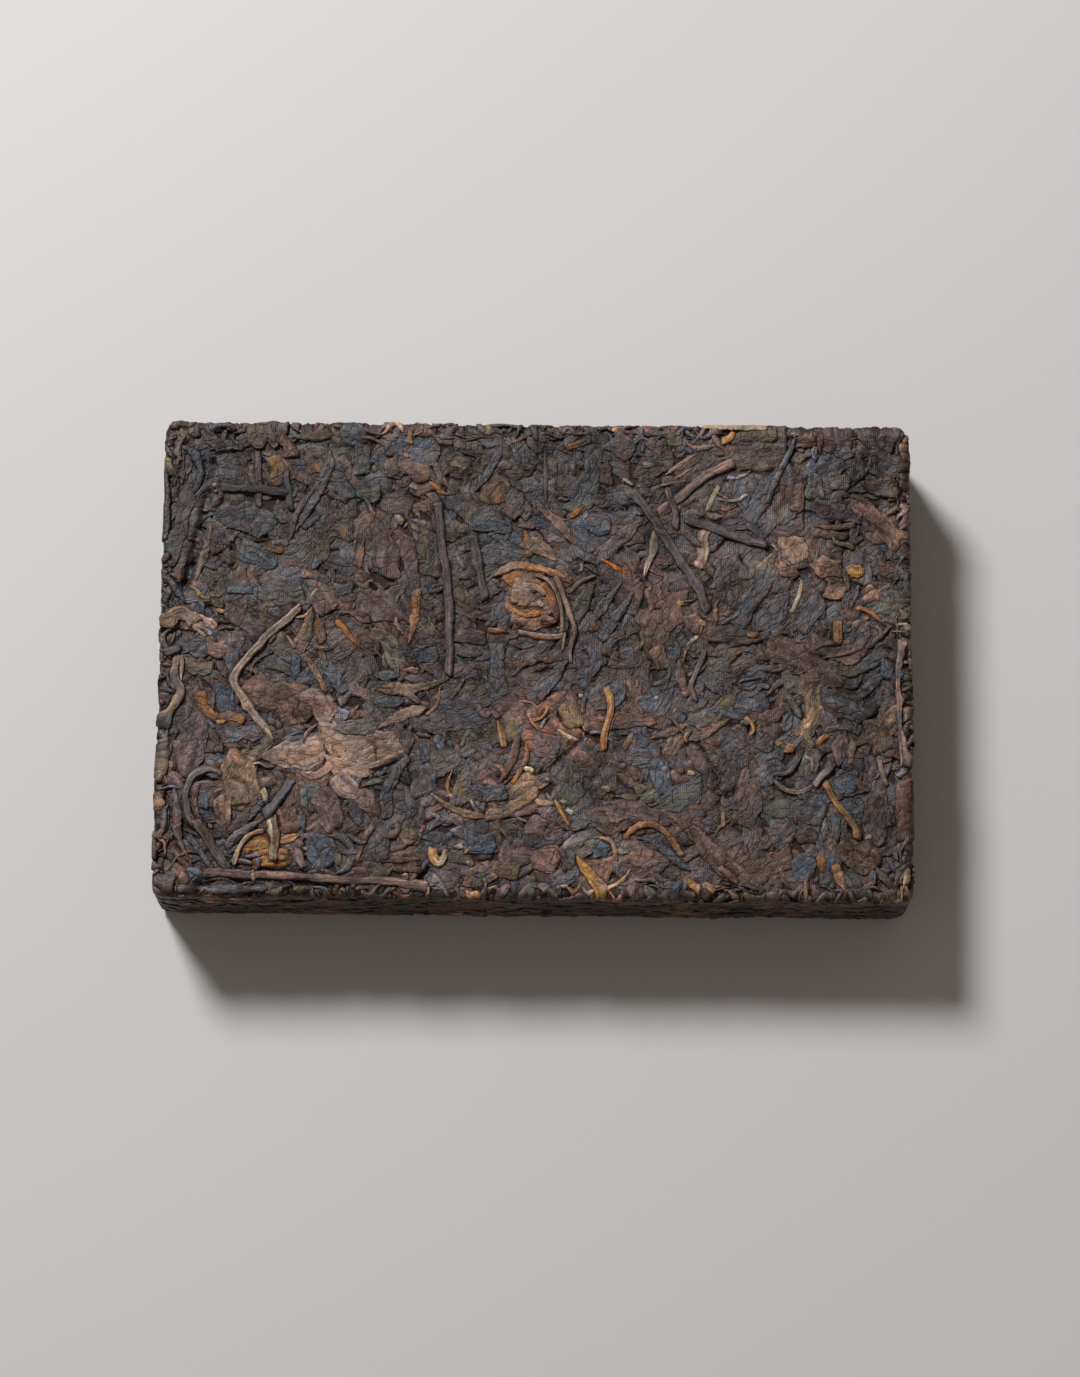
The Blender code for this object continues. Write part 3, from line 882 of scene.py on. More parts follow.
# ---------------------------------------------------------------------------- laid at random
class Drift:
    """A value that changes slowly over a side's map."""

    def __init__(self, side, scale, rng):
        count = np.ceil((side.high - side.low) / scale).astype(int)
        self.low, self.scale = side.low, (side.high - side.low) / count
        self.lattice = rng.uniform(-1, 1, tuple(count + 3))
        if side.around:
            self.lattice[-3:] = self.lattice[:3]

    def __call__(self, u, v):
        x, y = (u - self.low[0]) / self.scale[0], (v - self.low[1]) / self.scale[1]
        x, y = np.clip(x, 0, self.lattice.shape[0] - 1.01), np.clip(y, 0, self.lattice.shape[1] - 1.01)
        i, j = x.astype(int), y.astype(int)
        x, y = x - i, y - j
        return between(self.lattice, i, i + 1, j, x * x * (3 - 2 * x), y * y * (3 - 2 * y))


MIX = {     # how common each shade is among the leaf laid at random
    "umber": 14, "plum": 18, "slate": 14, "blue": 3.5, "grey": 14, "moss": 8, "olive": 7, "brown": 15,
    "russet": 6, "pink": 5, "beige": 0.8, "clay": 0.6, "tan": 0.6,
}
CRUMB_MIX = {**MIX, "russet": 8, "tan": 3, "orange": 2.5, "gold": 1.2, "straw": 1.5, "beige": 2}
DARK_MIX = {**MIX, "russet": 14, "brown": 20, "umber": 22, "blue": 2, "moss": 5, "beige": 1, "orange": 0.3}
NEAR = {    # the second shade that a fragment may turn to
    "umber": ("plum", "brown"), "plum": ("slate", "pink", "brown"), "slate": ("blue", "grey", "umber"),
    "blue": ("slate", "grey"), "grey": ("slate", "moss", "pink"), "moss": ("olive", "grey"),
    "olive": ("moss", "tan", "brown"), "brown": ("russet", "plum", "olive"), "russet": ("brown", "umber"),
    "pink": ("plum", "clay"), "beige": ("pink", "tan"), "clay": ("russet", "beige"),
    "tan": ("olive", "beige"), "orange": ("russet", "gold"), "gold": ("orange", "straw"),
    "straw": ("tan", "olive"),
}
WARMTH = {  # shades above 0 are commoner where the leaf is warm, and those below 0 where it is cold
    "slate": -1, "blue": -1.5, "grey": -0.5, "moss": -0.5, "umber": 0.3, "brown": 1, "russet": 1.5,
    "olive": 0.5, "tan": 0.5, "clay": 0.5, "pink": 0.4,
}
WARM_PULL, WARM_SCALE = 1.1, 11    # how strongly they follow it, and mm from warm leaf to cold
TWO_SHADES = 0.75                  # share of the fragments that turn to a second shade


def scatter(side, rng, spacing, kinds, turn, turn_spread, shy=0.0, mix=MIX, rim=None):
    """Lays fragments all over a side, one about every spacing mm, in random order.

    kinds gives each kind's share, its shortest and longest, and its narrowest and widest.  turn gives the
    direction at a place.  shy is how often a fragment keeps off what is laid from the list.  rim keeps to the
    places between two distances past the start of the core's rounded edge.
    """
    u, v = (np.arange(a + spacing / 2, b, spacing) for a, b in zip(side.low, side.high))
    spots = np.stack(np.meshgrid(u, v, indexing="ij"), -1).reshape(-1, 2)
    spots = spots + rng.uniform(-0.6, 0.6, spots.shape) * spacing
    rng.shuffle(spots)
    shades, weights = list(mix), np.array(list(mix.values()), float)
    warmth = np.array([WARMTH.get(shade, 0) for shade in shades])
    taste = Drift(side, WARM_SCALE, rng)
    shares = np.array([share for share, *_ in kinds.values()])
    heroes = {number for number, part in enumerate(side.laid) if part["hero"]}
    for spot in spots:
        if rim and not rim[0] < from_core(*spot)[0] < rim[1]:
            continue
        kind = rng.choice(list(kinds), p=shares / sum(shares))
        _, (short, long), (thin, wide) = kinds[kind]
        length = short * (long / short) ** rng.uniform()
        width = min(thin * (wide / thin) ** rng.uniform(), length * 0.9)
        angle = turn(*spot) + rng.normal(0, turn_spread)
        bends = (rng.uniform(-0.16, 0.16) + rng.uniform(-0.08, 0.08, 2)) * length
        chances = weights * np.exp(warmth * WARM_PULL * taste(*spot))
        shade = rng.choice(shades, p=chances / chances.sum())
        second = rng.choice(NEAR[shade]) if rng.uniform() < TWO_SHADES else None
        if shy and rng.uniform() < shy:
            x, y = side.cells(*spot)
            if side.owner[side.columns(int(x)), int(np.clip(y, 0, side.shape[1] - 1))] in heroes:
                continue
        ahead = np.array([math.cos(angle), math.sin(angle)])
        aside = np.array([-ahead[1], ahead[0]])
        points = [spot - ahead * length / 2, spot - ahead * length / 6 + aside * bends[0],
                  spot + ahead * length / 6 + aside * bends[-1], spot + ahead * length / 2]
        lay(side, kind, shade, width, points, rng, second=second)


# ---------------------------------------------------------------------------- where the sides lie
def outwards(offset, out_x, out_y, x, y, h):
    """Places of the top or bottom map -> x, y, and how far they stand over the flat of that side."""
    past = np.maximum(offset, 0)
    out, drop, turn = over_edge(past)
    h = lifted(h, turn)
    reach = out - past + h * np.sin(turn)
    return x + out_x * reach, y + out_y * reach, h * np.cos(turn) - drop


def place_top(u, v, h):
    x, y, rise = outwards(*from_core(u, v), u, v, h)
    return np.stack([x, y, CORE_HIGH + rise], -1)


def place_back(u, v, h):
    """The back's map is seen from below, so its u runs towards -X."""
    x, y, rise = outwards(*from_core(-u, v), -u, v, h)
    return np.stack([x, y, np.maximum(CORE_LOW - rise, 0)], -1)


def outline_of_core():
    """Places and outward directions along the core's outline, counter-clockwise, with their lengths."""
    places, outs = [], []
    for side_x, side_y, start in ((1, -1, -90), (1, 1, 0), (-1, 1, 90), (-1, -1, 180)):
        radius = core_corner((side_x, side_y))
        centre = np.array([side_x * (CORE_HALF[0] - radius), side_y * (CORE_HALF[1] - radius)])
        for angle in np.radians(np.linspace(start, start + 90, 13)):
            out = np.array([math.cos(angle), math.sin(angle)])
            places.append(centre + radius * out)
            outs.append(out)
    places, outs = np.array(places + places[:1]), np.array(outs + outs[:1])
    along = np.concatenate([[0], np.cumsum(np.linalg.norm(np.diff(places, axis=0), axis=1))])
    return places, outs, along


RING, RING_OUT, RING_ALONG = outline_of_core()
FINE_ALONG = np.linspace(0, RING_ALONG[-1], 900, endpoint=False)
FINE_RING = np.stack([np.interp(FINE_ALONG, RING_ALONG, RING[:, axis]) for axis in (0, 1)], 1)
ROUND = RING_ALONG[-1]
RING_TURN = np.minimum(abs(RING_OUT[:-1, 0]), abs(RING_OUT[:-1, 1])) * 1.4     # 0 on the flat sides
SIDE_LOW, SIDE_HIGH = CORE_LOW + EDGE_RADIUS, CORE_HIGH - EDGE_RADIUS


def place_edge(u, v, h):
    """The band round the brick: u runs counter-clockwise along the outline, and v is the height."""
    u = u % ROUND
    x, y = (np.interp(u, RING_ALONG, RING[:, axis]) for axis in (0, 1))
    out_x, out_y = (np.interp(u, RING_ALONG, RING_OUT[:, axis]) for axis in (0, 1))
    past = np.maximum(v - SIDE_HIGH, 0) - np.maximum(SIDE_LOW - v, 0)
    turn = np.clip(past / EDGE_RADIUS, -math.pi / 2, math.pi / 2)
    h = lifted(h, turn)
    reach = h * np.cos(turn) - EDGE_RADIUS * (1 - np.cos(turn))
    z = np.clip(v, SIDE_LOW, SIDE_HIGH) + (EDGE_RADIUS + h) * np.sin(turn)
    return np.stack([x + out_x * reach, y + out_y * reach, np.clip(z, 0, HEIGHT)], -1)


# ---------------------------------------------------------------------------- pressed in the mould
FINE_GAIN = 0.6                # how much of the steps from leaf to leaf is left after pressing
STIFF_GAIN = 0.9               # the same for stalks and buds, which give way less
LOOSE_GAIN = 0.55              # what is added where the mould presses less
LUMP_GAIN = 0.35               # and of the broader lumps
SOFTNESS = 0.45                # mm over which a rising leaf is flattened against the mould
SHALLOW, DEEPEST = 0.06, 0.38  # mm: gaps deeper than the first are filled up, to the sum of both at most
ROUND_ABOUT = (0.3, 1.8)       # mm: how far round a place its painted crevice shading looks
CREVICE_PAINTED_SHADING = (2.3, 1.3)           # painted shading: how much darker per mm below each of these surroundings, and paler above them
# The painted shade in the crevices darkens green and blue more than red.
PAINTED_SHADE_TINT = np.array([0.90, 1.06, 1.12])
# Contrast below and above the mean shade, of what is laid at random and of what is laid from the list.
CONTRAST = {False: (1.95, 1.8), True: (1.6, 1.14)}
DARK_TINT = np.array([0.91, 1.11, 1.18])   # the dark tones lean towards red
LEAST_SHOWN = 0.035            # share of a fragment: one that shows less is left out
BROAD, LUMP = 2.6, 0.8         # mm over which the pile is evened out, for its mean depth and for its lumps
STIFF_REACH, STIFF_BLUR = 0.5, 0.35    # mm round stalks and buds where the pile is as stiff as they are
DRIFT, DRIFT_SCALE = 0.18, 13  # mm by which the pressed side rises and falls, and mm from rise to fall
UNEVEN, UNEVEN_SCALE = 0.5, 6  # how unevenly it is pressed, and mm from firm to soft
BLOTCH, SMALL_BLOTCH = 0.50, 0.40      # how much lighter and darker it is in broad and in small blotches
SMALL_SCALE = 4.5              # mm from light to dark in the small ones
HERO_BLOTCH = 0.7              # share of that on what is laid from the list
LOOSE_RISE = 0.25              # mm by which the mould's limit gives way where the leaf is loose
# The most painted shade in a crevice, and the most painted light on a ridge.
DARKEST_PAINTED_SHADE, PALEST_PAINTED_LIGHT = -0.8, 0.4


def trim(part, seen):
    """Cuts off the rows and columns of a fragment that lie hidden under others."""
    for axis, least in ((0, 4), (1, 3)):
        lines = np.flatnonzero(seen.any(1 - axis))
        if len(lines) == 0:
            return
        first, last = max(lines[0] - 1, 0), lines[-1] + 2
        first = max(min(first, seen.shape[axis] - least), 0)
        last = max(last, first + least)
        cut = (slice(first, last), slice(None)) if axis == 0 else (slice(None), slice(first, last))
        seen = seen[cut]
        for key in ("u", "v", "top", "bottom", "colour", "across"):
            part[key] = part[key][cut]
        key = ("s", "t")[axis]
        part[key] = part[key][first:last]


def troughs(side, grid_u, grid_v):
    """How deep the side's cracks and holes are at each place of its map."""
    trough = np.zeros(side.shape)
    for depth, width, line in side.grooves:
        line = smooth_line(line, 0.4)[0]
        i0, j0 = (np.floor((line.min(0) - side.low - 3 * width) / side.cell)).astype(int).clip(0)
        i1, j1 = (np.ceil((line.max(0) - side.low + 3 * width) / side.cell)).astype(int)
        part = (slice(i0, i1), slice(j0, j1))
        gap = np.hypot(grid_u[part][..., None] - line[:, 0], grid_v[part][..., None] - line[:, 1]).min(-1)
        trough[part] = np.maximum(trough[part], depth * np.exp(-((gap / (width * 0.6)) ** 2)))
    return trough


def shown_colour(part, light, blotch):
    """A fragment's colour, with painted shade in the crevices and painted light on the ridges, blotched, and
    with the contrast of the dry leaf.
    """
    light = np.clip(light, DARKEST_PAINTED_SHADE, PALEST_PAINTED_LIGHT)[..., None]
    colour = part["colour"] * (1 + light * np.where(light < 0, PAINTED_SHADE_TINT, 1))
    colour = colour * (1 + blotch * (HERO_BLOTCH if part["hero"] else 1))[..., None]
    below, above = CONTRAST[part["hero"]]
    share = colour / MEAN_SHADE
    return MEAN_SHADE * np.where(share < 1, share ** (below * DARK_TINT), share**above)


def press_flat(side, rng):
    """Presses a laid side flat: each fragment that still shows gets its places in mm and its colour, with
    painted shading.
    """
    smooth, lumpy = side.blur(side.height, BROAD), side.blur(side.height, LUMP)
    stiff = [number for number, part in enumerate(side.laid) if part["kind"] in (*STIFF, "flap")]
    near_stiff = spread(np.isin(side.owner, stiff) * 1.0, side.count(STIFF_REACH), side.around)
    hard = side.blur(near_stiff, STIFF_BLUR)
    drift, patches, uneven = (Drift(side, scale, rng) for scale in (DRIFT_SCALE, SMALL_SCALE, UNEVEN_SCALE))
    lines = (side.low[k] + side.cell * np.arange(side.shape[k]) for k in (0, 1))
    grid_u, grid_v = np.meshgrid(*lines, indexing="ij")
    trough = troughs(side, grid_u, grid_v)

    def pressed(u, v, h):
        level = side.level(u, v) + DRIFT * drift(u, v)
        lumps, stiffness = side.read(lumpy, u, v), side.read(hard, u, v)
        loose = side.loose(u, v)
        gain = FINE_GAIN * (1 + UNEVEN * uneven(u, v)) + LOOSE_GAIN * loose
        gain = gain + (STIFF_GAIN - gain) * stiffness
        low = level + gain * (h - lumps) + LUMP_GAIN * (lumps - side.read(smooth, u, v))
        deep = np.maximum(level - SHALLOW - low, 0)
        deepest = DEEPEST * (1 + loose)
        low = np.where(deep > 0, level - SHALLOW - deepest * (1 - np.exp(-deep / deepest)), low)
        low = low - side.read(trough, u, v)
        cap = side.cap + STALK_RISE * stiffness + LOOSE_RISE * loose
        over = low - cap + SOFTNESS
        return np.where(over > 0, cap - SOFTNESS * np.exp(-np.maximum(over, 0) / SOFTNESS), low)

    def shows(number, u, v):
        """Whether a fragment shows at or beside each of its places."""
        x, y = (np.rint(k).astype(int) for k in side.cells(u, v))
        seen = np.zeros(u.shape, bool)
        for i in (-1, 0, 1):
            for j in (-1, 0, 1):
                seen |= side.owner[side.columns(x + i), np.clip(y + j, 0, side.shape[1] - 1)] == number
        return seen

    side.surface = pressed(grid_u, grid_v, side.height)
    near, wide = (side.blur(side.surface, size) for size in ROUND_ABOUT)
    owned = np.bincount(side.owner.ravel() + 1, minlength=len(side.laid) + 1)[1:] * side.cell**2
    kept = []
    for number, part in enumerate(side.laid):
        if owned[number] < LEAST_SHOWN * part["size"]:
            continue
        trim(part, shows(number, part["u"], part["v"]))
        u, v = part["u"], part["v"]
        top = pressed(u, v, part["top"])
        middle = top.shape[1] // 2
        under = pressed(u[:, middle], v[:, middle], part["bottom"][:, middle])
        under = np.minimum(under, top.min(1) - THINNEST)
        # Painted shade where the surface lies below its surroundings, and painted light where it lies above
        # them.
        light = CREVICE_PAINTED_SHADING[0] * (top - side.read(near, u, v)) + CREVICE_PAINTED_SHADING[1] * (top - side.read(wide, u, v))
        blotch = BLOTCH * drift(u, v) + SMALL_BLOTCH * patches(u, v)
        part["shown"] = shown_colour(part, light, blotch) * side.tint(u, v)
        hidden = side.place(u[:, middle], v[:, middle], under)
        part["place"] = np.concatenate([side.place(u, v, top), hidden[:, None]], 1)
        kept.append(part)
    return kept


# ---------------------------------------------------------------------------- fragments into meshes
UNDERSIDE = 0.4                # mm: width of the hidden underside on the texture map
CAP = 0.7                      # mm: room for a fragment's two end caps on the texture map
MARGIN = 0.12                  # mm: room round it there
UNDERSIDE_PAINTED_SHADE = 0.4              # painted shade of the hidden underside, as a share of the leaf's own colour
HERO_TURN = 0.35               # how far the material may turn the colours of what is laid from the list


def packed(sizes):
    """Rows of rectangles -> the corner of each on a unit square, and the scale of the square."""
    order = np.argsort(-sizes[:, 1])
    side = math.sqrt((sizes[:, 0] * sizes[:, 1]).sum() * 1.04)
    while True:
        corners = np.zeros_like(sizes)
        x = y = tall = 0.0
        for number in order:
            wide, high = sizes[number]
            if x + wide > side:
                x, y, tall = 0.0, y + tall, 0.0
            corners[number] = x, y
            x += wide
            tall = max(tall, high)
        if y + tall <= side:
            return corners, 1 / side
        side *= 1.015


def ring_faces(rows, loop):
    """Quads of a tube with that many rows, each a closed loop, as indices into rows x loop."""
    i, j = np.meshgrid(np.arange(rows - 1), np.arange(loop), indexing="ij")
    following = (j + 1) % loop
    quads = np.stack([i * loop + j, i * loop + following, (i + 1) * loop + following, (i + 1) * loop + j], -1)
    return quads.reshape(-1, 4), i.ravel(), j.ravel()


def unrolled(part, span, i, j, loop, rng):
    """A fragment's faces laid out flat, in mm: for its place on the texture map, and for its grain."""
    t, s = part["t"], part["s"] - part["s"][0]
    across = (t - t[0]) / (t[-1] - t[0]) * span
    round_it = np.concatenate([across, [span + UNDERSIDE / 2, span + UNDERSIDE]])
    u = np.stack([s[i], s[i], s[i + 1], s[i + 1]], -1)
    v = np.stack([round_it[j], round_it[j + 1], round_it[j + 1], round_it[j]], -1)
    shift = rng.uniform(0, 60, 2)
    flat = np.stack([u.ravel(), v.ravel()], -1)
    angle = np.arange(loop) / loop * 2 * math.pi
    disc = np.stack([np.cos(angle), np.sin(angle)], -1) * min(0.25, (span + UNDERSIDE) / 4.4)
    first, last = (np.array([s[-1] + CAP / 2, (span + UNDERSIDE) * share]) for share in (0.25, 0.75))
    grain = np.concatenate([flat, disc[::-1], disc + (s[-1], 0)]) + shift
    return np.concatenate([flat, first + disc[::-1], last + disc]), grain


def build_piece(name, parts, rng):
    """One mesh of many fragments, each a closed flattened tube with its own place on the texture map."""
    spans = [np.ptp(part["across"], 1).mean() for part in parts]
    lengths = [np.ptp(part["s"]) for part in parts]
    sizes = np.stack([np.array(lengths) + CAP + MARGIN, np.array(spans) + UNDERSIDE + MARGIN], 1)
    corners, scale = packed(sizes)
    places, colours, faces, totals, bakes, grains, smooths = [], [], [], [], [], [], []
    start = 0
    for part, span, corner in zip(parts, spans, corners):
        rows, columns = part["u"].shape
        loop = columns + 1
        places.append(part["place"].reshape(-1, 3))
        # The hidden underside is painted darker, as shade.
        under = part["shown"].mean(1, keepdims=True) * UNDERSIDE_PAINTED_SHADE
        tints = np.concatenate([part["shown"], under], 1).reshape(-1, 3)
        turn = HERO_TURN if part["hero"] else 1.0
        colours.append(np.concatenate([tints, np.full((len(tints), 1), turn)], 1))
        quads, i, j = ring_faces(rows, loop)
        ends = (np.arange(loop)[::-1], (rows - 1) * loop + np.arange(loop))
        faces.append(np.concatenate([quads.ravel(), *ends]) + start)
        totals.append(np.concatenate([np.full(len(quads), 4), [loop, loop]]))
        smooths.append(np.concatenate([np.ones(len(quads), bool), [False, False]]))
        bake, grain = unrolled(part, span, i, j, loop, rng)
        bakes.append((bake + corner + MARGIN / 2) * scale)
        grains.append(grain)
        start += rows * loop
    mesh = bpy.data.meshes.new(name)
    fill_mesh(mesh, *map(np.concatenate, (places, faces, totals, smooths)))
    for title, data in (("OFBake", bakes), ("grain", grains)):
        layer = mesh.uv_layers.new(name=title)
        layer.uv.foreach_set("vector", np.concatenate(data).astype(np.float32).ravel())
    paint(mesh, np.concatenate(colours))
    return linked(name, mesh)


def linked(name, data):
    """A new object in the scene."""
    made = bpy.data.objects.new(name, data)
    bpy.context.scene.collection.objects.link(made)
    return made


def fill_mesh(mesh, places, faces, totals, smooth):
    """places in mm; faces holds the corners of all faces in turn, and totals how many each has."""
    mesh.vertices.add(len(places))
    mesh.vertices.foreach_set("co", (places * MM).astype(np.float32).ravel())
    mesh.loops.add(len(faces))
    mesh.loops.foreach_set("vertex_index", faces.astype(np.int32))
    mesh.polygons.add(len(totals))
    mesh.polygons.foreach_set("loop_start", np.concatenate([[0], np.cumsum(totals)[:-1]]).astype(np.int32))
    mesh.polygons.foreach_set("use_smooth", smooth)
    mesh.update(calc_edges=True)
    mesh.validate()


def paint(mesh, colours):
    """Colours as linear light, with a fourth value: how far the material may turn them."""
    layer = mesh.color_attributes.new("shade", "FLOAT_COLOR", "POINT")
    layer.data.foreach_set("color", np.clip(colours, 0.002, 1).astype(np.float32).ravel())


# ---------------------------------------------------------------------------- materials
class Nodes:
    """A node material: each method adds a node and returns its main output."""

    def __init__(self, name, roughness, specular):
        self.material = bpy.data.materials.new(name)
        self.material.use_nodes = True
        self.tree = self.material.node_tree
        self.shader = self.tree.nodes["Principled BSDF"]
        self.shader.inputs["Roughness"].default_value = roughness
        self.shader.inputs["Specular IOR Level"].default_value = specular

    def node(self, kind, **settings):
        node = self.tree.nodes.new("ShaderNode" + kind)
        for key, value in settings.items():
            setattr(node, key, value)
        return node

    def link(self, output, socket):
        self.tree.links.new(output, socket)

    def fill(self, node, values):
        """Sets a node's inputs, by name or number."""
        for key, value in values.items():
            node.inputs[key].default_value = value
        return node

    def grain(self, scale):
        """Coordinates along and across the fragment, in mm times the scale."""
        mapping = self.fill(self.node("Mapping"), {"Scale": (*scale, 1)})
        self.link(self.node("UVMap", uv_map="grain").outputs["UV"], mapping.inputs["Vector"])
        return mapping.outputs["Vector"]

    def body(self, scale=(1, 1, 1)):
        """Coordinates fixed to the brick, in mm times the scale."""
        mapping = self.fill(self.node("Mapping"), {"Scale": [value / MM for value in scale]})
        self.link(self.node("TexCoord").outputs["Object"], mapping.inputs["Vector"])
        return mapping.outputs["Vector"]

    def noise(self, vector, scale, detail=2.0, roughness=0.5, warp=0.0):
        values = {"Scale": scale, "Detail": detail, "Roughness": roughness, "Distortion": warp}
        noise = self.fill(self.node("TexNoise"), values)
        self.link(vector, noise.inputs["Vector"])
        return noise.outputs["Fac"]

    def span(self, value, low, high, to_low=0.0, to_high=1.0):
        """The value, so that low to high becomes to_low to to_high, and no more than that."""
        values = {"From Min": low, "From Max": high, "To Min": to_low, "To Max": to_high}
        change = self.fill(self.node("MapRange"), values)
        self.link(value, change.inputs["Value"])
        return change.outputs["Result"]

    def cracks(self, scale, width):
        """0 on the borders of uneven angular cells on the fragment, and 1 at that distance from them."""
        place = self.grain(scale)
        noise = self.fill(self.node("TexNoise"), {"Scale": 1.1, "Detail": 3})
        self.link(place, noise.inputs["Vector"])
        warped = self.fill(self.node("VectorMath", operation="MULTIPLY_ADD"), {1: (1.1, 1.1, 0)})
        self.link(noise.outputs["Color"], warped.inputs[0])
        self.link(place, warped.inputs[2])
        cells = self.node("TexVoronoi", voronoi_dimensions="2D", feature="DISTANCE_TO_EDGE")
        self.fill(cells, {"Scale": 1})
        self.link(warped.outputs["Vector"], cells.inputs["Vector"])
        return self.span(cells.outputs["Distance"], 0, width)

    def near_half(self, value, width):
        """0 on the lines where a noise crosses a half, and 1 at that distance from them."""
        gap = self.fill(self.node("Math", operation="SUBTRACT"), {1: 0.5})
        self.link(value, gap.inputs[0])
        size = self.node("Math", operation="ABSOLUTE")
        self.link(gap.outputs[0], size.inputs[0])
        return self.span(size.outputs[0], 0, width)

    def cloth(self, period):
        """Fine uneven ribs across X, that period apart in mm, as a press cloth leaves them."""
        wave = self.node("TexWave", wave_type="BANDS", bands_direction="X")
        self.fill(wave, {"Scale": math.tau / 20 / period, "Distortion": 2.5, "Detail Scale": 0.6})
        self.link(self.body(), wave.inputs["Vector"])
        facing = self.node("SeparateXYZ")
        self.link(self.node("TexCoord").outputs["Normal"], facing.inputs["Vector"])
        uneven = self.span(self.noise(self.body((0.8, 0.3, 0.3)), 1, 2.0), 0.35, 0.65)
        return self.times(wave.outputs["Fac"], self.times(uneven, self.span(facing.outputs["Z"], 0.8, 0.95)))

    def times(self, a, b):
        product = self.node("Math", operation="MULTIPLY")
        self.link(a, product.inputs[0])
        self.link(b, product.inputs[1])
        return product.outputs[0]

    def scaled(self, colour, value):
        product = self.node("VectorMath", operation="SCALE")
        self.link(colour, product.inputs[0])
        self.link(value, product.inputs["Scale"])
        return product.outputs["Vector"]

    def mixed(self, fac, colour, other):
        mix = self.node("Mix", data_type="RGBA")
        self.link(fac, mix.inputs["Factor"])
        self.link(colour, mix.inputs["A"])
        mix.inputs["B"].default_value = (*other, 1)
        return mix.outputs["Result"]

    def bump(self, height, distance, before=None):
        """The normal for a relief that is that many mm deep, over another relief's normal."""
        bump = self.fill(self.node("Bump"), {"Distance": distance * MM})
        self.link(height, bump.inputs["Height"])
        if before is not None:
            self.link(before, bump.inputs["Normal"])
        return bump.outputs["Normal"]


DUST = (0.33, 0.29, 0.26)      # pale hairs and dust, linear light
WARM = (0.107, 0.067, 0.046)   # the reddish brown that the leaf turns to in places
COLD = (0.038, 0.040, 0.045)   # the slate grey
PAINTED_SHEEN = (0.140, 0.113, 0.096)  # and the pale painted sheen
COLD_SHARE, PAINTED_SHEEN_SHARE = 1.15, 0.6    # how far it turns to these, next to the reddish brown
RIB_GAP = 0.38                 # mm between the ribs that the press cloth leaves
CELLS, CRACK = (0.4, 0.7), 0.16    # the cracks' cells along and across per mm, and a crack as a share of one
HAIR = 0.018                   # half the width of a pale hair, in the noise whose middle it follows
TONE_POWER = 1.4               # contrast of the fine tones
FINE_RELIEF = 0.05             # mm of the finest relief


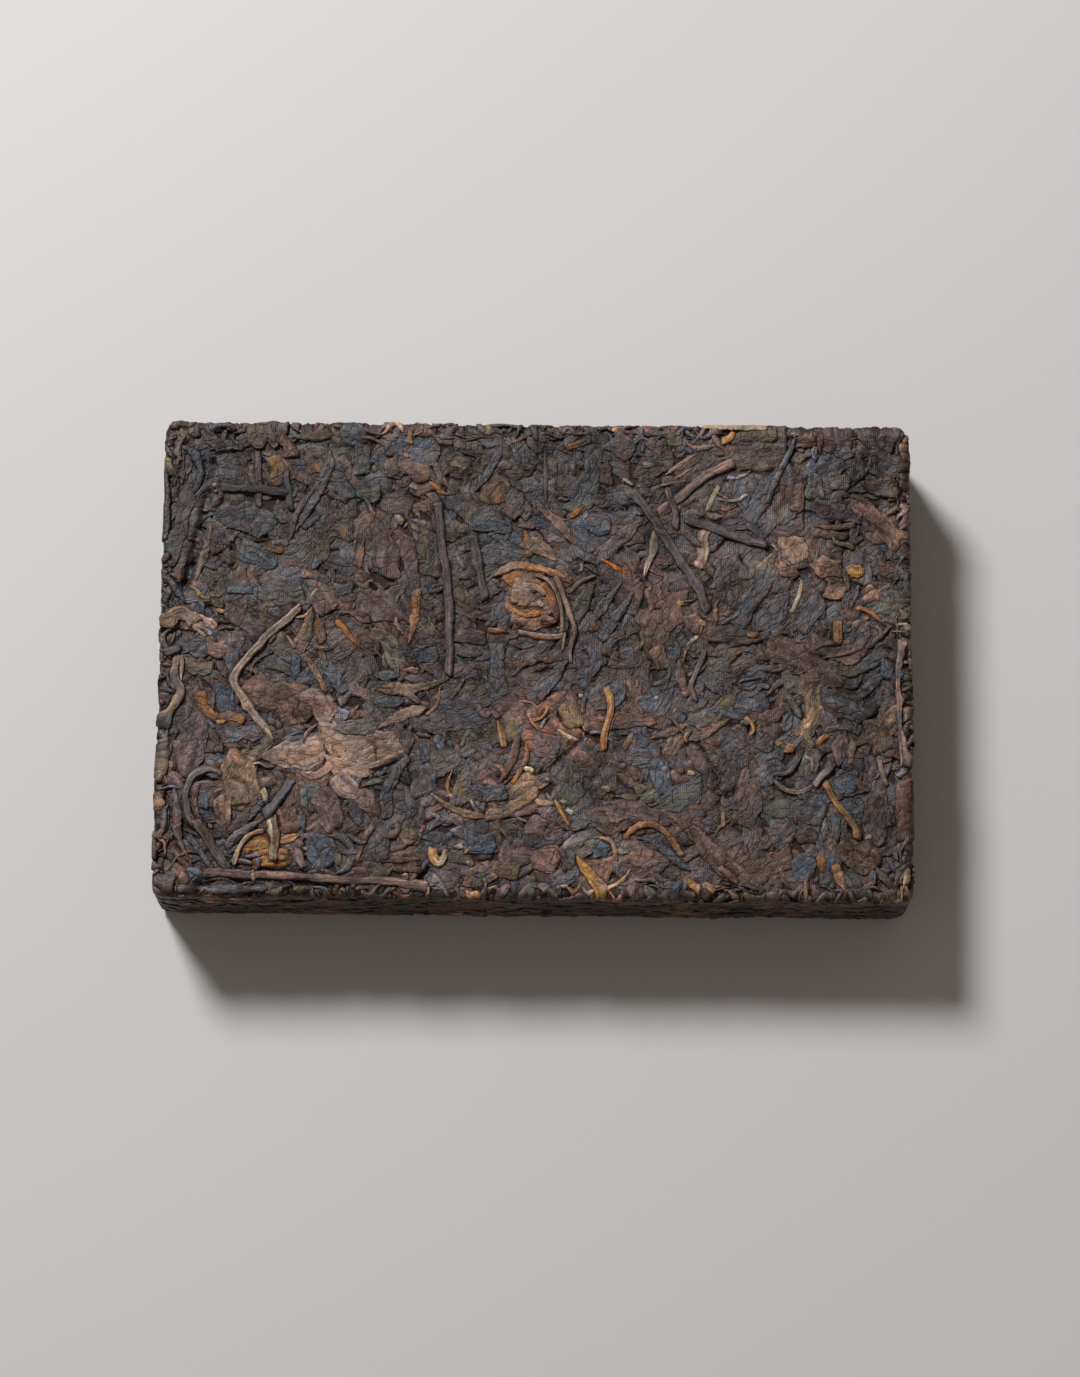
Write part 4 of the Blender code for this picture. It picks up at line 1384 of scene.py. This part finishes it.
def leaf_material(name, roughness, specular, grain, streak, fibre, wrinkle, crease, cloth, dust, blend,
                  rich=1.0):
    """Dry leaf: veins along it, cracks, pale hairs, and the fine ribs that the press cloth leaves.

    grain is the veins' spacing and streak their strength in colour.  fibre, wrinkle, crease and cloth are
    depths of relief in mm.  dust and blend say how far pale dust and warm, cold and painted sheen patches
    show, and rich how saturated the leaf is.
    """
    nodes = Nodes(name, roughness, specular)
    painted = nodes.node("Attribute", attribute_name="shade").outputs
    veins = nodes.noise(nodes.grain(grain), 1.0, 4.0, 0.7, 0.3)
    mottle = nodes.noise(nodes.body(), 1.2, 6.0, 0.78)
    specks = nodes.noise(nodes.body(), 3.4, 2.0, 0.7)
    fine = nodes.noise(nodes.body((1, 1, 1.3)), 4.5, 2.0, 0.7)
    creases = nodes.cracks(CELLS, CRACK)
    ribs = nodes.cloth(RIB_GAP)
    tone = nodes.times(nodes.span(veins, 0.25, 0.75, 1 - streak, 1 + streak),
                       nodes.span(mottle, 0.25, 0.75, 0.5, 1.5))
    # Painted shade in the cracks.
    tone = nodes.times(tone, nodes.span(creases, 0, 1, 0.87, 1.05))
    tone = nodes.times(tone, nodes.span(fine, 0.3, 0.7, 0.7, 1.3))
    tone = nodes.times(tone, nodes.span(ribs, 0, 1, 1 - 1.5 * cloth, 1 + 2.5 * cloth))
    warm = nodes.noise(nodes.body(), 0.3, 4.0, 0.62, 0.5)
    warm = nodes.span(warm, 0.48, 0.66, 0, blend)
    cold = nodes.noise(nodes.body((1, 1, -1)), 0.34, 4.0, 0.62, 0.5)
    cold = nodes.span(cold, 0.48, 0.66, 0, COLD_SHARE * blend)
    # Pale patches of painted sheen.
    light = nodes.noise(nodes.body((1, -1, 1)), 0.42, 4.0, 0.65, 0.5)
    light = nodes.span(light, 0.52, 0.7, 0, PAINTED_SHEEN_SHARE * blend)
    colour = nodes.mixed(nodes.times(light, painted["Alpha"]), painted["Color"], PAINTED_SHEEN)
    colour = nodes.mixed(nodes.times(warm, painted["Alpha"]), colour, WARM)
    colour = nodes.mixed(nodes.times(cold, painted["Alpha"]), colour, COLD)
    contrast = nodes.fill(nodes.node("Math", operation="POWER"), {1: TONE_POWER})
    nodes.link(tone, contrast.inputs[0])
    colour = nodes.scaled(colour, contrast.outputs[0])
    colour = nodes.mixed(nodes.span(specks, 0.6, 0.78, 0, dust), colour, DUST)
    hairs = nodes.near_half(nodes.noise(nodes.body((0.9, 0.9, 0.3)), 0.5, 1.0, 0.5, 0.4), HAIR)
    sparse = nodes.span(nodes.noise(nodes.body(), 0.35, 2.0), 0.5, 0.7, 0, 0.35)
    colour = nodes.mixed(nodes.times(nodes.span(hairs, 0, 1, 1, 0), sparse), colour, DUST)
    vivid = nodes.fill(nodes.node("HueSaturation"), {"Saturation": rich})
    nodes.link(colour, vivid.inputs["Color"])
    nodes.link(vivid.outputs["Color"], nodes.shader.inputs["Base Color"])
    crumpled = nodes.span(nodes.noise(nodes.body(), 0.16, 2.0), 0.38, 0.62, 0.25, 1)
    folds = nodes.noise(nodes.grain((0.5, 1.5)), 1.0, 6.0, 0.66, 0.5)
    normal = nodes.bump(nodes.times(folds, crumpled), wrinkle)
    normal = nodes.bump(nodes.times(creases, crumpled), crease, normal)
    for height, depth in ((veins, fibre), (ribs, cloth), (fine, FINE_RELIEF)):
        normal = nodes.bump(height, depth, normal)
    nodes.link(normal, nodes.shader.inputs["Normal"])
    return nodes.material


# ---------------------------------------------------------------------------- the pile
rng = np.random.default_rng(20)
FACE_HALF = [half - EDGE_RADIUS + WRAP + OVERLAP for half in CORE_HALF]   # of the two faces' maps
FALL = 0.35                    # how much thinner the faces' leaf gets per mm past the edge
BAND_LEVEL, BAND_FALL = 1.25, 0.3      # mm: the sides' leaf, and how much thinner it gets per mm past them


def level_of_face(base):
    """The leaf's mean depth on a face: even, and running out under the sides' leaf past the edge."""
    return lambda u, v: base - FALL * np.maximum(from_core(u, v)[0] - WRAP * 0.8, 0)


def past_side(v):
    """How far a place of the band lies above or below its flat part, and below 0 within it."""
    return np.maximum(v - SIDE_HIGH, SIDE_LOW - v)


def level_of_edge(u, v):
    return BAND_LEVEL - BAND_FALL * np.maximum(past_side(v), 0)


LOOSE_SPOTS = (   # x, y and radius in mm
    (-64, -34, 13), (-66, 6, 8), (-60, 38, 11), (-48, -36, 9),
    (62, 34, 15), (48, 38, 8), (68, -14, 7), (64, -40, 6),
)


def loose_face(u, v):
    """How loosely the leaf is pressed there: 0 in the open, and 1 in the loose spots."""
    loose = 0.4 * np.clip((from_core(u, v)[0] + 2.5) / 3, 0, 1) ** 1.5
    for spot in LOOSE_SPOTS:
        loose = np.maximum(loose, within(u, v, *spot))
    return loose


def loose_edge(u, v):
    corner = np.interp(u % ROUND, RING_ALONG, np.pad(RING_TURN, (0, 1)))
    return np.clip(0.4 * np.maximum(past_side(v) * 0.7 + 1, corner), 0.2, 0.4)


FACE = [-half for half in FACE_HALF], FACE_HALF
BAND = (0, SIDE_LOW - WRAP), (ROUND, SIDE_HIGH + WRAP)
BAND_CELL = ROUND / round(ROUND / 0.3)     # a whole number of them goes round
top = Side(*FACE, cell=0.25, step=0.44, place=place_top, level=level_of_face(1.2), cap=1.6,
           loose=loose_face, tint=tone_of_face)
back = Side(*FACE, cell=0.35, step=0.88, place=place_back, level=level_of_face(1.05), cap=1.33,
            loose=loose_face, tint=lambda u, v: 1)
edge = Side(*BAND, cell=BAND_CELL, step=0.66, place=place_edge, level=level_of_edge, cap=PILE,
            loose=loose_edge, tint=lambda u, v: SIDE_TINT, around=True)
for row in GROOVES.strip().splitlines():
    depth, width, *line = row.split()
    top.grooves.append((float(depth), float(width), read_line(line)))

lean = Drift(top, 17, rng)


def top_turn(u, v):
    """The leaf on the right lies mostly on the slant, and elsewhere it drifts."""
    slant = np.clip((u - 18) / 20, 0, 1)
    return 0.95 * slant + (1.5 - 0.7 * slant) * lean(u, v)


def along_rim(u, v):
    return math.pi / 2 if FACE_HALF[0] - abs(u) < FACE_HALF[1] - abs(v) else 0.0


def level_turn(u, v):
    return 0.0


# The face, from the lowest leaf up: large leaves, then smaller ones, and more of them at the rim.
scatter(top, rng, 4.2, {"leaf": (1, (6, 13), (3.5, 7))}, top_turn, 0.7)
scatter(top, rng, 3.4, {"leaf": (4, (3.5, 9), (2, 5)), "strip": (5, (4.5, 12), (1.1, 2.6))}, top_turn, 0.6)
scatter(top, rng, 4.1, {"leaf": (8, (5, 14), (3, 7.5)), "strip": (2, (5, 13), (1.4, 3))}, top_turn, 0.6)
scatter(top, rng, 3.1, {"leaf": (7, (3.5, 9), (2.4, 5)), "strip": (2, (4, 9), (0.9, 2)),
                        "crumb": (1, (1, 2), (0.8, 1.4))}, along_rim, 0.8, rim=(-1.8, math.inf))
scatter(top, rng, 1.5, {"strip": (4, (2, 6.5), (0.4, 0.8)), "crumb": (1, (1, 1.8), (0.4, 0.9))},
        along_rim, 0.15, rim=(-0.5, 1.0))
lay_by_hand(top, rng, ("leaf", "strip"))
scatter(top, rng, 5.4, {"crumb": (4, (1, 2.6), (0.7, 1.5)), "strip": (4, (2.4, 6), (0.7, 1.5)),
                        "fibre": (1, (2.5, 6), (0.3, 0.5))}, top_turn, 0.8, shy=0.95, mix=CRUMB_MIX)
lay_by_hand(top, rng, ("crumb", "bud", "flap", "stalk", "fibre"))

# The four sides.
scatter(edge, rng, 4.0, {"leaf": (1, (5, 10), (3, 5.5))}, level_turn, 0.5, mix=DARK_MIX)
scatter(edge, rng, 2.9, {"leaf": (7, (2.5, 7), (1.5, 3.2)), "strip": (3, (3, 8), (0.8, 1.8))},
        level_turn, 0.35, mix=DARK_MIX)
scatter(edge, rng, 4.2, {"strip": (3, (2.5, 7), (0.7, 1.4)), "crumb": (4, (1, 2.4), (0.6, 1.3)),
                         "leaf": (4, (2, 4.5), (1.2, 2.4)), "stalk": (0.5, (5, 12), (1.1, 1.8))},
        level_turn, 0.4, mix=DARK_MIX)

back_lean = Drift(back, 17, rng)


def back_turn(u, v):
    return 1.5 * back_lean(u, v)


# The back, with some stalks and buds among its leaf.
scatter(back, rng, 4.4, {"leaf": (5, (5, 12), (3, 6.5)), "strip": (3, (6, 12), (1.6, 3))}, back_turn, 0.7)
scatter(back, rng, 4.4, {"leaf": (4, (3.5, 8), (2, 4.6)), "strip": (5, (4, 10), (1.1, 2.4)),
                         "stalk": (0.6, (8, 22), (1.4, 2.2)), "bud": (0.3, (3, 7), (1, 1.7)),
                         "crumb": (2, (1.2, 2.6), (0.8, 1.5))}, back_turn, 0.7)

LEAF_GROUPS = {
    "dark": ("umber", "plum"), "slate": ("slate", "blue", "grey", "moss"),
    "brown": ("brown", "russet", "pink", "olive", "beige", "clay", "tan", "orange", "gold", "straw", "pale"),
}
GROUP_OF = {shade: group for group, shades in LEAF_GROUPS.items() for shade in shades}


def piece_of(side, part):
    """The name of the piece that a fragment belongs to."""
    kind, group = part["kind"], GROUP_OF[part["shade"]]
    if side is edge:
        return "edge_" + group
    if side is back:
        return "back_" + ("stalk" if kind in STIFF else group)
    if kind in ("leaf", "strip", "flap"):
        return ("leaf_" if kind == "leaf" else "strip_") + group
    return kind + "s"


groups = {}
for side in (top, edge, back):
    for part in press_flat(side, rng):
        groups.setdefault(piece_of(side, part), []).append(part)

FLAT, DRAWN = (0.6, 2.6), (0.25, 3.4)     # veins' spacing along and across, per mm
FINISHES = {   # slot; roughness, specular, veins, streak, fibre, wrinkle, crease, cloth, dust, blend, rich
    "dark": ("dark_leaf", (0.46, 0.5, FLAT, 0.2, 0.10, 0.5, 0.15, 0.028, 0.35, 0.8, 1.27)),
    "slate": ("slate_leaf", (0.45, 0.5, FLAT, 0.2, 0.10, 0.5, 0.15, 0.028, 0.35, 0.7, 1.27)),
    "brown": ("brown_leaf", (0.5, 0.48, FLAT, 0.24, 0.11, 0.5, 0.15, 0.028, 0.35, 0.6, 1.16)),
    "stalk": ("stalk", (0.5, 0.45, DRAWN, 0.5, 0.26, 0.2, 0.06, 0.01, 0.35, 0.35)),
    "bud": ("golden_bud", (0.55, 0.4, DRAWN, 0.55, 0.26, 0.2, 0.06, 0.0, 0.3, 0.25)),
    "crumb": ("pressed_tea", (0.6, 0.35, FLAT, 0.3, 0.10, 0.3, 0.14, 0.02, 0.25, 0.35)),
    "fibre": ("stalk", (0.5, 0.4, DRAWN, 0.3, 0.1, 0.08, 0.0, 0.0, 0.25, 0.3)),
}
for name, parts in groups.items():
    slot, finish = FINISHES[name.split("_")[-1].rstrip("s")]
    piece = build_piece(name, parts, rng)
    piece.data.materials.append(leaf_material(name, *finish))
    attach(piece, BODY)
    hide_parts(NODE)


# ---------------------------------------------------------------------------- the core
def leaf_depth(places, out):
    """How deep the leaf's surface is, at its lowest nearby, over places of the core that face out."""
    x, y, z = places.T
    offset, out_x, out_y = from_core(x, y)
    turn = np.arcsin(np.clip(np.hypot(out[:, 0], out[:, 1]), 0, 1))
    past = EDGE_RADIUS * turn - np.maximum(offset, 0)
    flat_u, flat_v = x + out_x * past, y + out_y * past
    ring = np.argmin(np.hypot(FINE_RING[:, 0] - x[:, None], FINE_RING[:, 1] - y[:, None]), 1)
    facing = np.clip(out[:, 2], -1, 1)
    band_v = np.clip(z, SIDE_LOW, SIDE_HIGH) + EDGE_RADIUS * np.arcsin(facing)
    total, weights = 0, 0
    for side, u, v, weight in (
        (top, flat_u, flat_v, np.clip(facing, 0, 1)),
        (back, -flat_u, flat_v, np.clip(-facing, 0, 1)),
        (edge, FINE_ALONG[ring], band_v, np.clip(1 - abs(facing), 0, 1)),
    ):
        lowest = -spread(-side.surface, side.count(0.4), side.around)
        total = total + side.read(blurred(lowest, 1, side.around, passes=1), u, v) * weight**2
        weights = weights + weight**2
    return total / weights


def box_grid(half, step):
    """A box about the origin as quads about step wide: its places, and the four corners of each quad."""
    counts = np.maximum(2, np.round(2 * half / step)).astype(int)
    index, places, quads = {}, [], []

    def corner(key):
        if key not in index:
            index[key] = len(places)
            places.append([2 * half[k] * key[k] / counts[k] - half[k] for k in range(3)])
        return index[key]

    for axis in range(3):
        across, up = (axis + 1) % 3, (axis + 2) % 3
        for end in (0, counts[axis]):
            for i in range(counts[across]):
                for j in range(counts[up]):
                    ring = []
                    for di, dj in ((0, 0), (1, 0), (1, 1), (0, 1)):
                        key = [0, 0, 0]
                        key[axis], key[across], key[up] = int(end), i + di, j + dj
                        ring.append(corner(tuple(key)))
                    quads.append(ring if end else ring[::-1])
    return np.array(places), np.array(quads)


def pulled_in(a, b):
    """How far to move a place of a square corner, a and b past its middle, on to a round one."""
    both = (a > 0) & (b > 0)
    shrink = np.where(both, np.maximum(a, b) / np.maximum(np.hypot(a, b), 1e-9), 1)
    return np.where(both, a * (shrink - 1), 0), np.where(both, b * (shrink - 1), 0)


CORE_STEP = 0.8                # mm between the core's places
CORE_GAP = 0.1                 # mm from the core up to the leaf's lowest surface nearby
CORE_PAINTED_SHADE = 0.55              # how dark it is, next to the leaf: painted shade for the gaps where it shows


def make_core():
    """The pressed mass under the leaf, painted dark as the shade in the gaps where it shows: a closed box with
    round edges, close below the leaf's surface.
    """
    half = np.array([*CORE_HALF, (CORE_HIGH - CORE_LOW) / 2])
    p, quads = box_grid(half, CORE_STEP)
    radii = {key: core_corner(key) for key in CORNERS}
    side_x, side_y, radius = by_corner(p[:, 0], p[:, 1], radii)
    side_z = np.where(p[:, 2] < 0, -1, 1)
    in_x, in_y = pulled_in(abs(p[:, 0]) - half[0] + radius, abs(p[:, 1]) - half[1] + radius)
    p[:, 0] += side_x * in_x
    p[:, 1] += side_y * in_y
    offset, out_x, out_y = plan_offset(p[:, 0], p[:, 1], CORE_HALF, radii)
    past, rise = EDGE_RADIUS + offset, EDGE_RADIUS + abs(p[:, 2]) - half[2]
    inwards, down = pulled_in(past, rise)
    p += np.stack([out_x * inwards, out_y * inwards, side_z * down], -1)
    past, rise = np.clip(past, 0, None), np.clip(rise, 0, None)
    out = np.stack([out_x * past, out_y * past, side_z * rise], -1)
    out /= np.linalg.norm(out, axis=1)[:, None]
    p = p + (0, 0, (CORE_HIGH + CORE_LOW) / 2)
    depth = lifted(leaf_depth(p, out) - CORE_GAP, np.arccos(np.clip(abs(out[:, 2]), 0, 1)))
    p = p + out * depth[:, None]
    mesh = bpy.data.meshes.new("tea_core")
    fill_mesh(mesh, p, quads.ravel(), np.full(len(quads), 4), np.ones(len(quads), bool))
    blotches = ripples(rng, p[:, 0] + 0.7 * p[:, 2], p[:, 1] - 0.6 * p[:, 2], 2.4, 9)
    share = np.clip(0.5 + 0.5 * blotches, 0, 1)[:, None]
    # Umber and russet, painted darker as shade.
    shade = (linear("umber") * (1 - share) + linear("russet") * share) * CORE_PAINTED_SHADE
    paint(mesh, np.concatenate([shade, np.ones((len(shade), 1))], 1))
    return linked("tea_core", mesh)


def core_material():
    nodes = Nodes("tea_core", roughness=0.7, specular=0.25)
    shade = nodes.node("Attribute", attribute_name="shade").outputs["Color"]
    crumbs = nodes.noise(nodes.body(), 1.1, 4.0, 0.65, 0.8)
    nodes.link(nodes.scaled(shade, nodes.span(crumbs, 0.3, 0.7, 0.6, 1.4)), nodes.shader.inputs["Base Color"])
    nodes.link(nodes.bump(crumbs, 0.4), nodes.shader.inputs["Normal"])
    return nodes.material


core = make_core()
core.data.materials.append(core_material())
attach(core, BODY)
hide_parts(NODE)


# ---------------------------------------------------------------------------- floor, light and camera
FLOOR_HALF = 3.0               # m
LENS, SENSOR = 104.58, 36      # mm: focal length and sensor width
TILT, TURN = math.radians(13.43), math.radians(0.54)   # of the camera off the vertical, and sideways
CAMERA_FAR = 0.758             # m from the place it looks at
CAMERA_TARGET = Vector((0.0009, -0.0012, 0.0))
DAYLIGHT, ROOM = (0.94, 0.95, 1.0), (1.0, 0.91, 0.85)  # the window's light, and what the room throws back
ROOM_LIGHT = 0.19              # strength of the latter
PALE = (0.62, 0.60, 0.57)      # the floor, linear light


def make_floor():
    nodes = Nodes("pale_floor", roughness=0.8, specular=0.2)
    nodes.shader.inputs["Base Color"].default_value = (*PALE, 1)
    mesh = bpy.data.meshes.new("floor")
    corners = [(x * FLOOR_HALF, y * FLOOR_HALF, 0) for x, y in ((-1, -1), (1, -1), (1, 1), (-1, 1))]
    mesh.from_pydata(corners, [], [(0, 1, 2, 3)])
    mesh.materials.append(nodes.material)
    floor = linked("floor", mesh)


def area_light(name, place, size, watts, colour):
    """A round soft light at a place in metres, facing the brick."""
    light = bpy.data.lights.new(name, "AREA")
    light.shape = "DISK"
    light.size = size
    light.energy = watts
    light.color = colour
    lamp = linked(name, light)
    lamp.location = place
    lamp.rotation_euler = (-Vector(place)).to_track_quat("-Z", "Y").to_euler()


def make_camera():
    """Almost straight down on the brick, from a little to the front of it."""
    rotation = Matrix.Rotation(TURN, 3, "Z") @ Matrix.Rotation(TILT, 3, "X")
    lens = bpy.data.cameras.new("camera")
    lens.lens = LENS
    lens.sensor_width = SENSOR
    camera = linked("camera", lens)
    camera.rotation_euler = rotation.to_euler()
    camera.location = CAMERA_TARGET + rotation @ Vector((0, 0, CAMERA_FAR))
    bpy.context.scene.camera = camera


def make_world():
    world = bpy.data.worlds.new("studio")
    world.use_nodes = True
    background = world.node_tree.nodes["Background"]
    background.inputs["Color"].default_value = (*ROOM, 1)
    background.inputs["Strength"].default_value = ROOM_LIGHT
    bpy.context.scene.world = world


make_floor()
area_light("window", place=(-0.5, 0.75, 0.8), size=0.32, watts=17.6, colour=DAYLIGHT)
make_world()
make_camera()
bpy.context.scene.view_settings.view_transform = "Standard"
